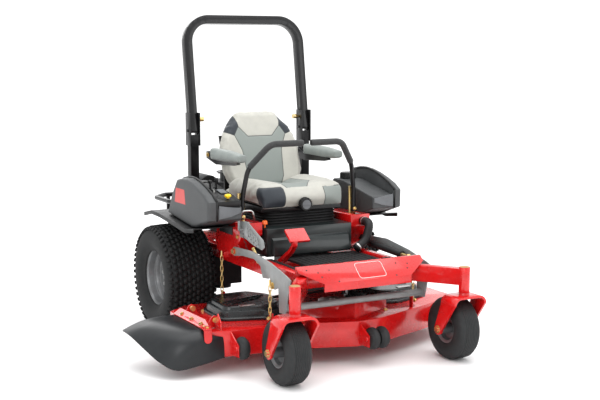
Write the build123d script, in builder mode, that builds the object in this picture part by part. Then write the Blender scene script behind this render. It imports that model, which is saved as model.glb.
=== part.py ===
"""Zero turn mower: a rear-engined riding mower with two control levers, a mid-mounted deck and a folding ROPS.

The machine is drawn with its centre line at x = 0, the rear axle at y = 0 and the ground at z = 0. The front is -Y,
the operator's right is -X. Every piece is then moved so that the origin lies on the ground under the middle of the
machine's outline. All sizes are in millimetres.
"""

import os
from math import cos, radians, sin, tan

from build123d import *

os.makedirs("parts", exist_ok=True)

# Stance
wheelbase = 1295
drive_track = 1078
caster_track = 978
caster_trail = 85
overall_height = 1790

# Wheels
drive_tyre_d = 604
drive_tyre_w = 286
drive_rim_d = 305
drive_rim_w = 236
tyre_wall = 14
caster_tyre_d = 328
caster_tyre_w = 130
caster_rim_d = 152
rim_lip = 15
rim_gauge = 4
lug_count = 5

# Main frame
rail_w = 50
rail_h = 70
rail_wall = 5
rail_inner_x = 290
rail_bottom_z = 420
frame_front_y = -1150
frame_rear_y = 360
cross_depth = 40
plate_gauge = 6

# Front frame
nose_half_w = 365
nose_low_half_w = 254
nose_top_y = -1163
nose_top_z = 534
nose_face_y = -1250
nose_fold_z = 455
nose_bottom_z = 415
head_tube_d = 57
head_tube_gap = 12
head_tube_top_z = 491
caster_arm_h = 84
caster_arm_w = 50

# Casters
fork_plate = 12
fork_half_w = 100
fork_crown_gap = 24
fork_crown_half = 58
fork_bend = 45
fork_leg_r = 30
stem_r = 19
axle_r = 9.5
bolt_head_r = 14
bolt_head_t = 12

# Towers, pod and floor
tower_inner_x = 276
tower_outer_x = 397
tower_wall = 4
tower_front_y = -612
tower_rear_y = -267
tower_top_z = 677
pod_half_w = 262
pod_front_y = -640
pod_rear_y = -40
pod_top_z = 640
floor_top_z = 480
floor_gauge = 10

# Tanks and fenders
tank_inner_x = 400
tank_step_x = 545
tank_outer_x = 600
tank_front_y = -637
tank_rear_y = -55
tank_top_z = 904
fender_outer_x = 640
fender_rear_y = 200
fender_gauge = 6
cap_r = 45
cap_h = 34

# Console
console_inner_x = 412
console_rear_y = -300
console_wall = 4
console_low_z = 775
console_rise = 62

# Rollover frame
rops_y = 105
rops_tube = 50
rops_wall = 4.5
rops_pivot_z = 1125
rops_pin_z = 1188
rops_lean = 8
rops_corner_r = 160
hinge_plate = 6
hinge_half_y = 36
hoop_gap = 1
pin_r = 8
pin_travel = 12
pin_knob_r = 13

# Seat
seat_half_w = 268
seat_front_y = -576
seat_back_y = -70
cushion_bottom_z = 745
cushion_top_z = 868
seat_pan_z = 716
seat_back_bottom_z = 872
seat_back_top_z = 1234
seat_back_top_half_w = 136
seat_back_depth = 105
seat_back_lean = 19
arm_inner_x = 274
arm_outer_x = 330
arm_front_y = -440
arm_rear_y = -40
arm_bottom_z = 962
arm_top_z = 1040
arm_pivot_y = 52
arm_pivot_z = 985
ride_knob_r = 38
ride_knob_z = 753

# Levers
lever_r = 13
grip_r = 17
grip_from = 0.3
lever_bend = 50
lever_x = 348
lever_pivot_y = -500
lever_pivot_z = 600
lever_swing_z = 700
lever_bar_top_z = 825
lever_bar_w = 42
lever_bar_t = 8
lever_elbow = (322, -536, 954)
lever_shoulder = (208, -601, 1091)
lever_tip_x = 23.5

# Engine
engine_y = 250
engine_half_w = 150
engine_base_z = 490
shroud_r = 165
engine_top_z = 850
guard_r = 14
guard_stay_r = 12
guard_bend = 40
guard_rear_y = 650
guard_corner_x = 432
guard_corner_y = 560
guard_z = 687

# Drives
drive_half_y = 85
drive_low_z = 210
drive_inner_x = 150
drive_outer_x = 385
hub_shaft_r = 17.5

# Deck
deck_bottom_z = 90
deck_top_z = 220
deck_wall = 5
deck_right_x = -760
deck_left_x = 785
deck_rear_y = -400
deck_apex = (50, -1152)
deck_centre_x = 10
spindle_pitch = 500
spindle_stagger = 170
side_spindle_y = -695
blade_len = 521
blade_w = 64
blade_t = 6
blade_z = 112
spindle_r = 15
housing_r = 48
housing_top_z = 250
pulley_r = 75
pulley_groove_r = 67
pulley_h = 22
belt_t = 7
cover_top_z = 288
cover_wall = 3
roller_r = 57
roller_w = 50
roller_pair_x = 64
roller_pair_gap = 6
roller_z = 144
roller_bolt_r = 8

# Deflector
deflector_hinge_x = -770
deflector_hinge_z = 240
deflector_tip_x = -1077
deflector_rear_y = -600
deflector_front_y = -985
rubber_t = 8

# Deck lift
arm_inner_face = 409
arm_outer_face = 415
lift_pivot = (-555, 523)
rock_shaft = (-1105, 322)
rock_shaft_r = 18
chain_x = 430
pedal_pivot = (-640, 455)
pedal_x = -200

# Small fits and details
cross_y = -660
cross_drop = 10
cross_top_drop = 20
engine_deck_y = 60
hitch_half_w = 70
hitch_gauge = 12
hitch_y = 460
hitch_hole_r = 10
arm_root_x = 322
caster_arm_z = 404
cap_plate = 4
floor_half_w = 286
pod_panel_half_w = 233
cap_y = -245
cap_z = 838
console_t = 30
throttle_x = -455
choke_x = -490
throttle_y = -420
throttle_drop = 12
slot_half_w = 5.5
slot_half_l = 34
pto_x = -470
pto_y = -600
pto_r = 18
pto_stem_r = 6
key_x = -520
key_y = -520
key_stem_r = 5
latch_x = -250
latch_y = -590
latch_h = 42
latch_r = 14
pedal_boss_w = 44
pedal_pin_r = 8
lever_pin_r = 9
swing_pin_r = 6
lift_pin_r = 9
knob_stem_r = 8
arm_pin_r = 8
hinge_pin_r = 7
hinge_tube_r = 13
shaft_end_x = 328
rim_web_x = 30
hub_flange_r = 74
lug_circle_r = 57
caster_rim_half = 54
muffler_half_l = 180
muffler_y = 472
muffler_z = 570
muffler_r = 60
hose_r = 24
sleeve_r = 19
pan_half_w = 245
pan_front_y = -545
pan_rear_y = 12
pulley_z = 254
belt_h = 12
rib_gauge = 6
rib_top_z = 300
chute_front_y = -950
chute_rear_y = -570
chain_pin_z = 268
chain_pin_r = 3.5
link_wire = 5
link_w = 18
link_l = 40
link_pitch = 28
front_links = 6
rear_links = 8
front_chain_y = -1005
rear_chain_y = -425
roller_reach = {"roller_front_right": 76, "roller_centre_right": 80, "roller_front_left": 66}

# Fits
running_gap = 0.05
side_gap = 0.3

# Derived places
drive_x = drive_track / 2
drive_z = drive_tyre_d / 2
caster_x = caster_track / 2
caster_pivot_y = -(wheelbase + caster_trail)
caster_z = caster_tyre_d / 2
rail_outer_x = rail_inner_x + rail_w
rops_x = rail_outer_x + rops_tube / 2
fork_crown_z = caster_tyre_d + fork_crown_gap
head_tube_bottom_z = fork_crown_z + head_tube_gap
rail_top_z = rail_bottom_z + rail_h
front_y = -(wheelbase + caster_tyre_d / 2)
pin_y = rops_y + (rops_pin_z - rops_pivot_z) * tan(radians(rops_lean))
to_origin = Location(
    (-(deflector_tip_x + deck_left_x) / 2, -(front_y + guard_rear_y) / 2, 0)
)
spindles = {
    "spindle_right": (deck_centre_x - spindle_pitch, side_spindle_y),
    "spindle_centre": (deck_centre_x, side_spindle_y - spindle_stagger),
    "spindle_left": (deck_centre_x + spindle_pitch, side_spindle_y),
}
roller_step = (roller_w + roller_pair_gap) / 2
rollers = {
    "roller_front_right": (-622, -1085),
    "roller_centre_right": (roller_pair_x - roller_step, -1228),
    "roller_centre_left": (roller_pair_x + roller_step, -1228),
    "roller_front_left": (632, -1022),
}


def save(name, piece):
    """Label a finished piece and write it in the machine's frame."""
    piece.label = name
    placed = piece.moved(to_origin)
    placed.label = name
    export_step(placed, f"parts/{name}.step")


def block(low, high, mode=Mode.ADD):
    """Add a box between two corners."""
    middle = tuple((a + b) / 2 for a, b in zip(low, high))
    with Locations(middle):
        Box(*(b - a for a, b in zip(low, high)), mode=mode)


def rod(start, end, radius, mode=Mode.ADD):
    """Add a round bar between two points."""
    run = Vector(*end) - Vector(*start)
    middle = Vector(*start) + run * 0.5
    with Locations(Location(Plane(origin=middle, z_dir=run))):
        Cylinder(radius, run.length, mode=mode)


def slab(points, x_from, x_to, mode=Mode.ADD):
    """Add a slab between two values of x from its outline, given as points of y and z."""
    with BuildSketch(Plane.YZ.offset(x_from)) as outline:
        Polygon(*points, align=None)
    extrude(outline.sketch, amount=x_to - x_from, mode=mode)


def turned(points, y, z, mode=Mode.ADD):
    """Add a solid turned about a line along X from its half section, given as points of x and radius."""
    with BuildSketch(Plane.XZ.offset(-y)) as half:
        Polygon(*((x, z + r) for x, r in points), align=None)
    revolve(half.sketch, axis=Axis((0, y, z), (1, 0, 0)), mode=mode)


def plan(points, z_from, z_to, mode=Mode.ADD):
    """Add a plate between two heights from its outline seen from above."""
    with BuildSketch(Plane.XY.offset(z_from)) as outline:
        Polygon(*points, align=None)
    extrude(outline.sketch, amount=z_to - z_from, mode=mode)


def front(points, y_rear, depth, mode=Mode.ADD):
    """Add a plate from its outline seen from the front, reaching forward from its rear face."""
    with BuildSketch(Plane.XZ.offset(-y_rear)) as outline:
        Polygon(*points, align=None)
    extrude(outline.sketch, amount=depth, mode=mode)


def bent_tube(points, radius, bend):
    """Add a round tube that runs through its corner points with an even bend at each."""
    with BuildLine() as route:
        FilletPolyline(*points, radius=bend)
    with BuildSketch(Plane(origin=route.line @ 0, z_dir=route.line % 0)) as section:
        Circle(radius)
    sweep(section.sketch, path=route.line)



def back_front_y(z):
    """Front face of the seat back at a height."""
    return seat_back_y - 40 + (z - seat_back_bottom_z) * tan(radians(seat_back_lean))


def back_rear_y(z):
    """Rear face of the seat back at a height."""
    return back_front_y(z) + seat_back_depth


# ---------------------------------------------------------------- main frame
with BuildPart() as main_frame:
    block((rail_inner_x, frame_front_y, rail_bottom_z), (rail_outer_x, frame_rear_y, rail_top_z))
    block(
        (rail_inner_x + rail_wall, frame_front_y, rail_bottom_z + rail_wall),
        (rail_outer_x - rail_wall, frame_rear_y, rail_top_z - rail_wall),
        mode=Mode.SUBTRACT,
    )
    mirror(about=Plane.YZ)
    for y in (frame_front_y, cross_y, frame_rear_y - cross_depth):
        block(
            (-rail_inner_x, y, rail_bottom_z + cross_drop),
            (rail_inner_x, y + cross_depth, rail_top_z - cross_top_drop),
        )
    # Engine deck
    block((-rail_inner_x, engine_deck_y, rail_top_z - plate_gauge), (rail_inner_x, frame_rear_y, rail_top_z))
    # Pedal bracket with its pin, in a gap of the middle cross member
    gap = pedal_boss_w / 2 + side_gap
    for edge in (pedal_x - gap - plate_gauge, pedal_x + gap):
        block(
            (edge, cross_y, rail_bottom_z + cross_drop),
            (edge + plate_gauge, cross_y + cross_depth, rail_top_z - cross_top_drop),
        )
    block(
        (pedal_x - gap, cross_y, rail_bottom_z + cross_drop),
        (pedal_x + gap, cross_y + cross_depth, rail_top_z),
        mode=Mode.SUBTRACT,
    )
    rod((pedal_x - gap, *pedal_pivot), (pedal_x + gap, *pedal_pivot), pedal_pin_r)
    # Hitch plate under the rear cross member
    block(
        (-hitch_half_w, frame_rear_y - cross_depth, rail_bottom_z + cross_drop - hitch_gauge),
        (hitch_half_w, hitch_y + hitch_half_w / 2, rail_bottom_z + cross_drop),
    )
    rod((0, hitch_y, rail_bottom_z - 20), (0, hitch_y, rail_bottom_z + 20), hitch_hole_r, mode=Mode.SUBTRACT)
save("main_frame", main_frame.part)

# ---------------------------------------------------------------- front frame
with BuildPart() as front_frame:
    slab(
        [
            (frame_front_y, nose_top_z),
            (nose_top_y, nose_top_z),
            (nose_face_y, nose_fold_z),
            (nose_face_y, nose_bottom_z),
            (nose_face_y + plate_gauge, nose_bottom_z),
            (nose_face_y + plate_gauge, nose_fold_z - 3),
            (frame_front_y - plate_gauge, nose_top_z - 9),
            (frame_front_y - plate_gauge, rail_bottom_z),
            (frame_front_y, rail_bottom_z),
        ],
        -nose_half_w,
        nose_half_w,
    )
    # The lower face is narrower than the top edge
    for s in (-1, 1):
        front(
            [
                (s * (nose_half_w + 1), nose_bottom_z - 1),
                (s * (nose_half_w + 1), nose_top_z - 25),
                (s * nose_low_half_w, nose_fold_z),
                (s * nose_low_half_w, nose_bottom_z - 1),
            ],
            nose_top_y - 1,
            100,
            mode=Mode.SUBTRACT,
        )
    # Caster arms reach forwards and outwards to the head tubes
    run = Vector(caster_x - arm_root_x, caster_pivot_y - frame_front_y)
    across = Vector(-run.Y, run.X).normalized()
    for s in (-1, 1):
        for half, inset, mode in (
            (caster_arm_w / 2, 0, Mode.ADD),
            (caster_arm_w / 2 - rail_wall, rail_wall, Mode.SUBTRACT),
        ):
            low_z = caster_arm_z + inset
            ends = (Vector(arm_root_x, frame_front_y), Vector(caster_x, caster_pivot_y))
            corners = [
                ends[0] + across * half - run.normalized() * caster_arm_w,
                ends[0] - across * half - run.normalized() * caster_arm_w,
                ends[1] - across * half,
                ends[1] + across * half,
            ]
            plan([(s * c.X, c.Y) for c in corners], low_z, low_z + caster_arm_h - 2 * inset, mode)
        block(
            (min(s * 200, s * 600), frame_front_y, rail_bottom_z - 60),
            (max(s * 200, s * 600), frame_front_y + 150, nose_top_z + 10),
            mode=Mode.SUBTRACT,
        )
        foot = (s * caster_x, caster_pivot_y, head_tube_bottom_z)
        top = (s * caster_x, caster_pivot_y, head_tube_top_z)
        rod(foot, top, head_tube_d / 2)
        rod(foot, top, stem_r + running_gap, mode=Mode.SUBTRACT)
        # Dust cap over the stem
        rod(top, (s * caster_x, caster_pivot_y, head_tube_top_z + cap_plate), head_tube_d / 2)
save("front_frame", front_frame.part)

# ---------------------------------------------------------------- floor plate
with BuildPart() as floor_plate:
    block((-floor_half_w, frame_front_y, floor_top_z - floor_gauge), (floor_half_w, pod_front_y, floor_top_z))
    block(
        (pedal_x - 35, -900, floor_top_z - floor_gauge - 1),
        (pedal_x + 35, pod_front_y + 1, floor_top_z + 1),
        mode=Mode.SUBTRACT,
    )
save("floor_plate", floor_plate.part)

# ---------------------------------------------------------------- side towers
with BuildPart() as side_towers:
    outline = [
        (tower_rear_y - 33, tower_top_z - 8),
        (tower_front_y, tower_top_z),
        (tower_front_y, 612),
        (tower_front_y + 16, 594),
        (-523, 521),
        (-515, rail_top_z),
        (tower_rear_y - 33, rail_top_z),
        (tower_rear_y, 540),
        (tower_rear_y - 20, 600),
    ]
    slab(outline, tower_inner_x, tower_outer_x)
    inner = [
        (tower_rear_y + 20, tower_top_z - 8 - tower_wall),
        (tower_front_y + tower_wall, tower_top_z - tower_wall),
        (tower_front_y + tower_wall, 614),
        (tower_front_y + 16 + tower_wall, 596),
        (-523 + tower_wall, 523),
        (-515 + tower_wall, rail_top_z + tower_wall),
        (tower_rear_y + 20, rail_top_z + tower_wall),
    ]
    slab(inner, tower_inner_x + tower_wall, tower_outer_x - tower_wall, mode=Mode.SUBTRACT)
    # Slot that the control lever moves in
    block(
        (lever_x - lever_bar_w / 2 - 6, -590, tower_top_z - 30),
        (lever_x + lever_bar_w / 2 + 6, -430, tower_top_z + 5),
        mode=Mode.SUBTRACT,
    )
    rod(
        (tower_inner_x + 1, lever_pivot_y, lever_pivot_z),
        (tower_outer_x - 1, lever_pivot_y, lever_pivot_z),
        lever_pin_r,
    )
    # Ear, bush and pin of the lift arm
    pivot_y, pivot_z = lift_pivot
    rod((tower_outer_x - plate_gauge, pivot_y, pivot_z), (tower_outer_x, pivot_y, pivot_z), 34)
    rod((tower_outer_x, pivot_y, pivot_z), (arm_inner_face - side_gap, pivot_y, pivot_z), 14)
    rod((tower_outer_x, pivot_y, pivot_z), (arm_outer_face + side_gap, pivot_y, pivot_z), lift_pin_r)
    rod((arm_outer_face + side_gap, pivot_y, pivot_z), (arm_outer_face + 8, pivot_y, pivot_z), 14)
    # Hanger of the rear deck chain
    block((tower_outer_x - 4, rear_chain_y - 15, rail_top_z - 22), (tower_outer_x, rear_chain_y + 15, rail_top_z + 20))
    block(
        (tower_outer_x, rear_chain_y - 8, rail_top_z - 20),
        (chain_x - link_w / 2 - side_gap, rear_chain_y + 8, rail_top_z + 10),
    )
    mirror(about=Plane.YZ)
save("side_towers", side_towers.part)

# ---------------------------------------------------------------- seat pod
with BuildPart() as seat_pod:
    block((-pod_half_w, pod_front_y, rail_top_z), (pod_half_w, pod_rear_y, pod_top_z))
    block(
        (-pod_half_w + tower_wall, pod_front_y + tower_wall, rail_top_z - 1),
        (pod_half_w - tower_wall, pod_rear_y + 1, pod_top_z - tower_wall),
        mode=Mode.SUBTRACT,
    )
    # Feet on the two rails
    for s in (-1, 1):
        for y in (pod_front_y + 30, pod_rear_y - 60):
            x_from, x_to = sorted((s * (pod_half_w - 1), s * (rail_inner_x + 20)))
            block((x_from, y, rail_top_z), (x_to, y + 30, rail_top_z + 5))
    # Slanted front panel
    slab(
        [
            (pod_front_y, 590),
            (pod_front_y - 19, 580),
            (pod_front_y - 36, 502),
            (pod_front_y - 30, 494),
            (pod_front_y, rail_top_z + 4),
        ],
        -pod_panel_half_w,
        pod_panel_half_w,
    )
save("seat_pod", seat_pod.part)

# ---------------------------------------------------------------- tanks, fenders and caps
fender_line = [(-530, 656), (-410, 640), (-200, 662), (-55, 676), (80, 680), (fender_rear_y, 655)]
with BuildPart() as tank_fenders:
    lower = [(y, z - fender_gauge) for y, z in reversed(fender_line)]
    slab(fender_line + lower, tower_outer_x, fender_outer_x)
    # Turned-down outer lip
    lip = [(y, z - fender_gauge - 16) for y, z in reversed(fender_line)]
    slab(fender_line + lip, fender_outer_x - fender_gauge, fender_outer_x)
    # Foot bolted to the tower
    block((tower_outer_x, -500, 600), (tank_inner_x - side_gap, -330, 646))
    mirror(about=Plane.YZ)
save("tank_fenders", tank_fenders.part)

console_line = [(tank_front_y, console_low_z), (console_rear_y, console_low_z + console_rise)]
with BuildPart() as fuel_tanks:
    underside = [
        (tank_rear_y, 676.3),
        (-200, 662.3),
        (-410, 640.3),
        (-470, 648.3),
        (tank_front_y + 3, 705),
    ]
    outer_top = [(tank_front_y, 804), (-510, 862), (-360, tank_top_z), (-195, 886), (-93, 760)]
    slab(underside + outer_top, tank_step_x, tank_outer_x)
    inner_top = [console_line[0], console_line[1], (-195, 838), (-93, 750)]
    slab(underside + inner_top, tank_inner_x, tank_step_x)
    mirror(about=Plane.YZ)
save("fuel_tanks", fuel_tanks.part)

with BuildPart() as fuel_caps:
    cap_x = (tank_inner_x + tank_step_x) / 2
    for s in (-1, 1):
        with Locations((s * cap_x, cap_y, cap_z + cap_h / 2)):
            Cylinder(cap_r, cap_h)
save("fuel_caps", fuel_caps.part)

# ---------------------------------------------------------------- control console on the right tank
slope = console_rise / (console_rear_y - tank_front_y)


def console_z(y, lift=0.0):
    """Height of the console's underside at a place along it, plus a lift."""
    return console_low_z + (y - tank_front_y) * slope + lift


with BuildPart() as control_console:
    outline = [
        (tank_front_y, console_z(tank_front_y)),
        (tank_front_y, console_z(tank_front_y, console_t)),
        (console_rear_y, console_z(console_rear_y, console_t)),
        (console_rear_y, console_z(console_rear_y)),
    ]
    slab(outline, -tank_step_x + side_gap, -console_inner_x)
    cavity = [
        (tank_front_y + console_wall, console_z(tank_front_y, -1)),
        (tank_front_y + console_wall, console_z(tank_front_y + console_wall, console_t - console_wall)),
        (console_rear_y - console_wall, console_z(console_rear_y - console_wall, console_t - console_wall)),
        (console_rear_y - console_wall, console_z(console_rear_y, -1)),
    ]
    slab(cavity, -tank_step_x + console_wall, -console_inner_x - console_wall, mode=Mode.SUBTRACT)
    hinge_z = console_z(throttle_y, throttle_drop)
    rod((-tank_step_x + 1, throttle_y, hinge_z), (-console_inner_x - 1, throttle_y, hinge_z), 4)
    for x in (throttle_x, choke_x):
        block(
            (x - slot_half_w, throttle_y - slot_half_l, hinge_z),
            (x + slot_half_w, throttle_y + slot_half_l, hinge_z + 60),
            mode=Mode.SUBTRACT,
        )
    top_z = console_z(pto_y, console_t)
    rod((pto_x, pto_y, top_z - 12), (pto_x, pto_y, top_z + 12), pto_stem_r + 0.3, mode=Mode.SUBTRACT)
    key_top = console_z(key_y, console_t)
    rod((key_x, key_y, key_top - 12), (key_x, key_y, key_top + 12), key_stem_r + 0.3, mode=Mode.SUBTRACT)
save("control_console", control_console.part)

for name, x, length in (("throttle_lever", throttle_x, 78), ("choke_lever", choke_x, 66)):
    with BuildPart() as small_lever:
        rod((x - 5, throttle_y, hinge_z), (x + 5, throttle_y, hinge_z), 9)
        block((x - 2, throttle_y - 6, hinge_z), (x + 2, throttle_y + 6, hinge_z + length))
        block((x - 8, throttle_y - 9, hinge_z + length - 16), (x + 8, throttle_y + 9, hinge_z + length))
        rod((x - 6, throttle_y, hinge_z), (x + 6, throttle_y, hinge_z), 4 + running_gap, mode=Mode.SUBTRACT)
    save(name, small_lever.part)

with BuildPart() as pto_knob:
    rod((pto_x, pto_y, top_z - 24), (pto_x, pto_y, top_z + 6), pto_stem_r)
    rod((pto_x, pto_y, top_z + pto_r * slope + 1), (pto_x, pto_y, top_z + 30), pto_r)
save("pto_knob", pto_knob.part)

with BuildPart() as ignition_key:
    rod((key_x, key_y, key_top - 14), (key_x, key_y, key_top + 8), key_stem_r)
    block((key_x - 2, key_y - 13, key_top + 8), (key_x + 2, key_y + 13, key_top + 32))
save("ignition_key", ignition_key.part)

with BuildPart() as transport_latch:
    latch_z = pod_top_z + side_gap
    rod((latch_x, latch_y, latch_z), (latch_x, latch_y, latch_z + latch_h / 2), 6)
    rod((latch_x, latch_y, latch_z + latch_h / 2), (latch_x, latch_y, latch_z + latch_h), latch_r)
    block(
        (latch_x - 3, latch_y - latch_r - 8, latch_z + latch_h * 0.7),
        (latch_x + 3, latch_y, latch_z + latch_h),
    )
save("transport_latch", transport_latch.part)

# ---------------------------------------------------------------- rollover frame
with BuildPart() as rops_posts:
    half = rops_tube / 2
    post_top = rops_pivot_z - half - 2
    block((rops_x - half, rops_y - half, rail_bottom_z), (rops_x + half, rops_y + half, post_top))
    block(
        (rops_x - half + rops_wall, rops_y - half + rops_wall, rail_bottom_z - 1),
        (rops_x + half - rops_wall, rops_y + half - rops_wall, post_top + 1),
        mode=Mode.SUBTRACT,
    )
    for face in (rops_x - half - hinge_plate, rops_x + half):
        block(
            (face, rops_y - hinge_half_y, post_top - 60),
            (face + hinge_plate, rops_y + hinge_half_y, rops_pin_z + 40),
        )
    rod(
        (rops_x - half - hinge_plate - 8, rops_y, rops_pivot_z),
        (rops_x + half + hinge_plate + 8, rops_y, rops_pivot_z),
        pin_r,
    )
    rod(
        (rops_x - half - hinge_plate - 1, pin_y, rops_pin_z),
        (rops_x - half + 1, pin_y, rops_pin_z),
        pin_r + running_gap,
        mode=Mode.SUBTRACT,
    )
    mirror(about=Plane.YZ)
save("rops_posts", rops_posts.part)

lean = radians(rops_lean)
hoop_depth = rops_tube - 2 * hoop_gap
hoop_len = (overall_height - rops_pivot_z - hoop_depth / 2 * sin(lean)) / cos(lean)
hoop_plane = Plane(
    origin=(0, rops_y + hoop_depth / 2 * cos(lean), rops_pivot_z - hoop_depth / 2 * sin(lean)),
    x_dir=(1, 0, 0),
    z_dir=(0, -cos(lean), sin(lean)),
)


def hoop_outline(inset, tail=0):
    """The hoop's tube seen square on, drawn in by an inset and reaching below the pivot by a tail."""
    outer = rops_x + rops_tube / 2 - hoop_gap - inset
    inner = rops_x - rops_tube / 2 + hoop_gap + inset
    top = hoop_len - inset
    with BuildSketch() as outline:
        with Locations((0, (top - tail) / 2)):
            Rectangle(2 * outer, top + tail)
        fillet(outline.vertices().group_by(Axis.Y)[-1], rops_corner_r - inset)
        low_top = hoop_len - hoop_depth + inset
        with BuildSketch(mode=Mode.SUBTRACT) as mouth:
            with Locations((0, (low_top - tail) / 2)):
                Rectangle(2 * inner, low_top + tail)
            fillet(mouth.vertices().group_by(Axis.Y)[-1], rops_corner_r - hoop_depth + inset)
    return hoop_plane * outline.sketch


with BuildPart() as rops_hoop:
    extrude(hoop_outline(0), amount=hoop_depth)
    for s in (-1, 1):
        inner, outer = rops_x - hoop_depth / 2, rops_x + hoop_depth / 2
        rod((s * inner, rops_y, rops_pivot_z), (s * outer, rops_y, rops_pivot_z), hoop_depth / 2)
    extrude(
        hoop_plane.offset(rops_wall) * (hoop_plane.location.inverse() * hoop_outline(rops_wall, rops_tube)),
        amount=hoop_depth - 2 * rops_wall,
        mode=Mode.SUBTRACT,
    )
    for s in (-1, 1):
        ends = sorted((s * (rops_x - rops_tube), s * (rops_x + rops_tube)))
        rod((ends[0], rops_y, rops_pivot_z), (ends[1], rops_y, rops_pivot_z), pin_r + running_gap, Mode.SUBTRACT)
        ends = sorted((s * (rops_x - rops_tube), s * rops_x))
        rod((ends[0], pin_y, rops_pin_z), (ends[1], pin_y, rops_pin_z), pin_r + running_gap, Mode.SUBTRACT)
save("rops_hoop", rops_hoop.part)

for name, s in (("rops_pin_right", -1), ("rops_pin_left", 1)):
    inner_face = rops_x - rops_tube / 2 - hinge_plate
    with BuildPart() as rops_pin:
        # Drawn out: the tip is inside the hinge plate and clear of the hoop
        tip = (s * (inner_face + hinge_plate - 1), pin_y, rops_pin_z)
        shoulder = (s * (inner_face - pin_travel - 2), pin_y, rops_pin_z)
        rod(tip, shoulder, pin_r)
        rod(shoulder, (s * (inner_face - pin_travel - 26), pin_y, rops_pin_z), pin_knob_r)
    save(name, rops_pin.part)

# ---------------------------------------------------------------- engine, muffler and guard
with BuildPart() as engine_block:
    block(
        (-engine_half_w, engine_y - 120, engine_base_z),
        (engine_half_w, engine_y + 150, engine_base_z + 150),
    )
    for s in (-1, 1):
        x_from, x_to = sorted((s * (engine_half_w - 20), s * (engine_half_w + 70)))
        block((x_from, engine_y - 30, engine_base_z + 50), (x_to, engine_y + 120, engine_base_z + 170))
    rod((0, engine_y, engine_base_z + 150), (0, engine_y, engine_top_z - 50), shroud_r)
    rod((0, engine_y, engine_top_z - 50), (0, engine_y, engine_top_z), shroud_r - 45)
    rod((-210, engine_y - 20, engine_top_z - 70), (-210, engine_y + 150, engine_top_z - 70), 62)
    block((-215, engine_y, engine_base_z + 170), (-150, engine_y + 110, engine_top_z - 100))
save("engine_block", engine_block.part)

with BuildPart() as muffler:
    rod((-muffler_half_l, muffler_y, muffler_z), (muffler_half_l, muffler_y, muffler_z), muffler_r)
    for s in (-1, 1):
        rod((s * 100, engine_y + 150, muffler_z), (s * 100, muffler_y, muffler_z), 16)
    rod((muffler_half_l - 40, muffler_y, muffler_z), (muffler_half_l - 40, muffler_y + muffler_r + 40, muffler_z), 17)
save("muffler", muffler.part)

with BuildPart() as engine_guard:
    side_bar = [
        (rops_x, rops_y + rops_tube / 2 + 5, guard_z),
        (guard_corner_x, 330, guard_z),
        (guard_corner_x, guard_corner_y - 20, guard_z),
        (guard_corner_x - 90, guard_rear_y - guard_r, guard_z),
    ]
    bent_tube(side_bar + [(-x, y, z) for x, y, z in reversed(side_bar)], guard_r, guard_bend)
    for s in (-1, 1):
        stay_x = s * (rail_inner_x + rail_outer_x) / 2
        stay = [
            (stay_x, frame_rear_y, rail_top_z - 30),
            (stay_x, guard_corner_y, rail_top_z - 30),
            (stay_x, guard_rear_y - guard_r, rail_top_z + 40),
            (stay_x, guard_rear_y - guard_r, guard_z),
        ]
        bent_tube(stay, guard_stay_r, guard_bend)
save("engine_guard", engine_guard.part)

# ---------------------------------------------------------------- hydrostatic drives
with BuildPart() as hydro_drives:
    block((drive_inner_x, -drive_half_y, drive_low_z + 30), (drive_outer_x - 60, drive_half_y, rail_bottom_z))
    rod((drive_outer_x - 70, 0, drive_z), (drive_outer_x, 0, drive_z), 62)
    rod((drive_inner_x + 90, 0, drive_low_z), (drive_inner_x + 90, 0, drive_low_z + 31), 55)
    rod((shaft_end_x - 2, 0, drive_z), (drive_outer_x + 1, 0, drive_z), hub_shaft_r + running_gap, Mode.SUBTRACT)
    mirror(about=Plane.YZ)
save("hydro_drives", hydro_drives.part)

# ---------------------------------------------------------------- hose, springs and height plate
with BuildPart() as hydraulic_hose:
    hose_route = [
        (350, tower_front_y, 640),
        (350, tower_front_y - 82, 640),
        (318, tower_front_y - 92, 545),
        (250, tower_front_y - 100, floor_top_z + 26),
    ]
    bent_tube(hose_route, hose_r, 34)
save("hydraulic_hose", hydraulic_hose.part)

with BuildPart() as lift_springs:
    # Sleeved assist spring beside the left rail
    sleeve_x = tower_outer_x - plate_gauge - side_gap - sleeve_r
    bent_tube([(sleeve_x, -575, 540), (sleeve_x, -640, 520), (sleeve_x + 3, -980, 506)], sleeve_r, 60)
    rod((sleeve_x + 3, -980, 506), (352, frame_front_y + 1, 503), 6)
    # Damper beside the right tower, with its eye on the height plate
    rod((-378, tower_front_y - 3.7, 655), (-378, -760, 618), 14)
    rod((-378, -759, 618.3), (-378, -830, 600), 7)
    rod((-tower_outer_x + side_gap, -830, 600), (-371, -830, 600), 11)
save("lift_springs", lift_springs.part)

with BuildPart() as height_plate:
    slab(
        [
            (-585, 672),
            (-600, 690),
            (-694, 699),
            (-712, 690),
            (-870, 628),
            (-885, 591),
            (-858, 575),
            (-751, 587),
            (-669, 606),
            (-600, 606),
        ],
        -tower_outer_x - 5,
        -tower_outer_x,
    )
    for row in range(3):
        for column in range(5):
            y = -690 - 30 * column - 6 * row
            z = 672 - 12 * column - 24 * row
            rod((-tower_outer_x - 6, y, z), (-tower_outer_x + 1, y, z), 5, mode=Mode.SUBTRACT)
    # Height pin with its bent handle
    rod((-tower_outer_x - 30, -640, 650), (-tower_outer_x - 5, -640, 650), 6)
    rod((-tower_outer_x - 30, -640, 650), (-tower_outer_x - 30, -640, 700), 6)
save("height_plate", height_plate.part)

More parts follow.
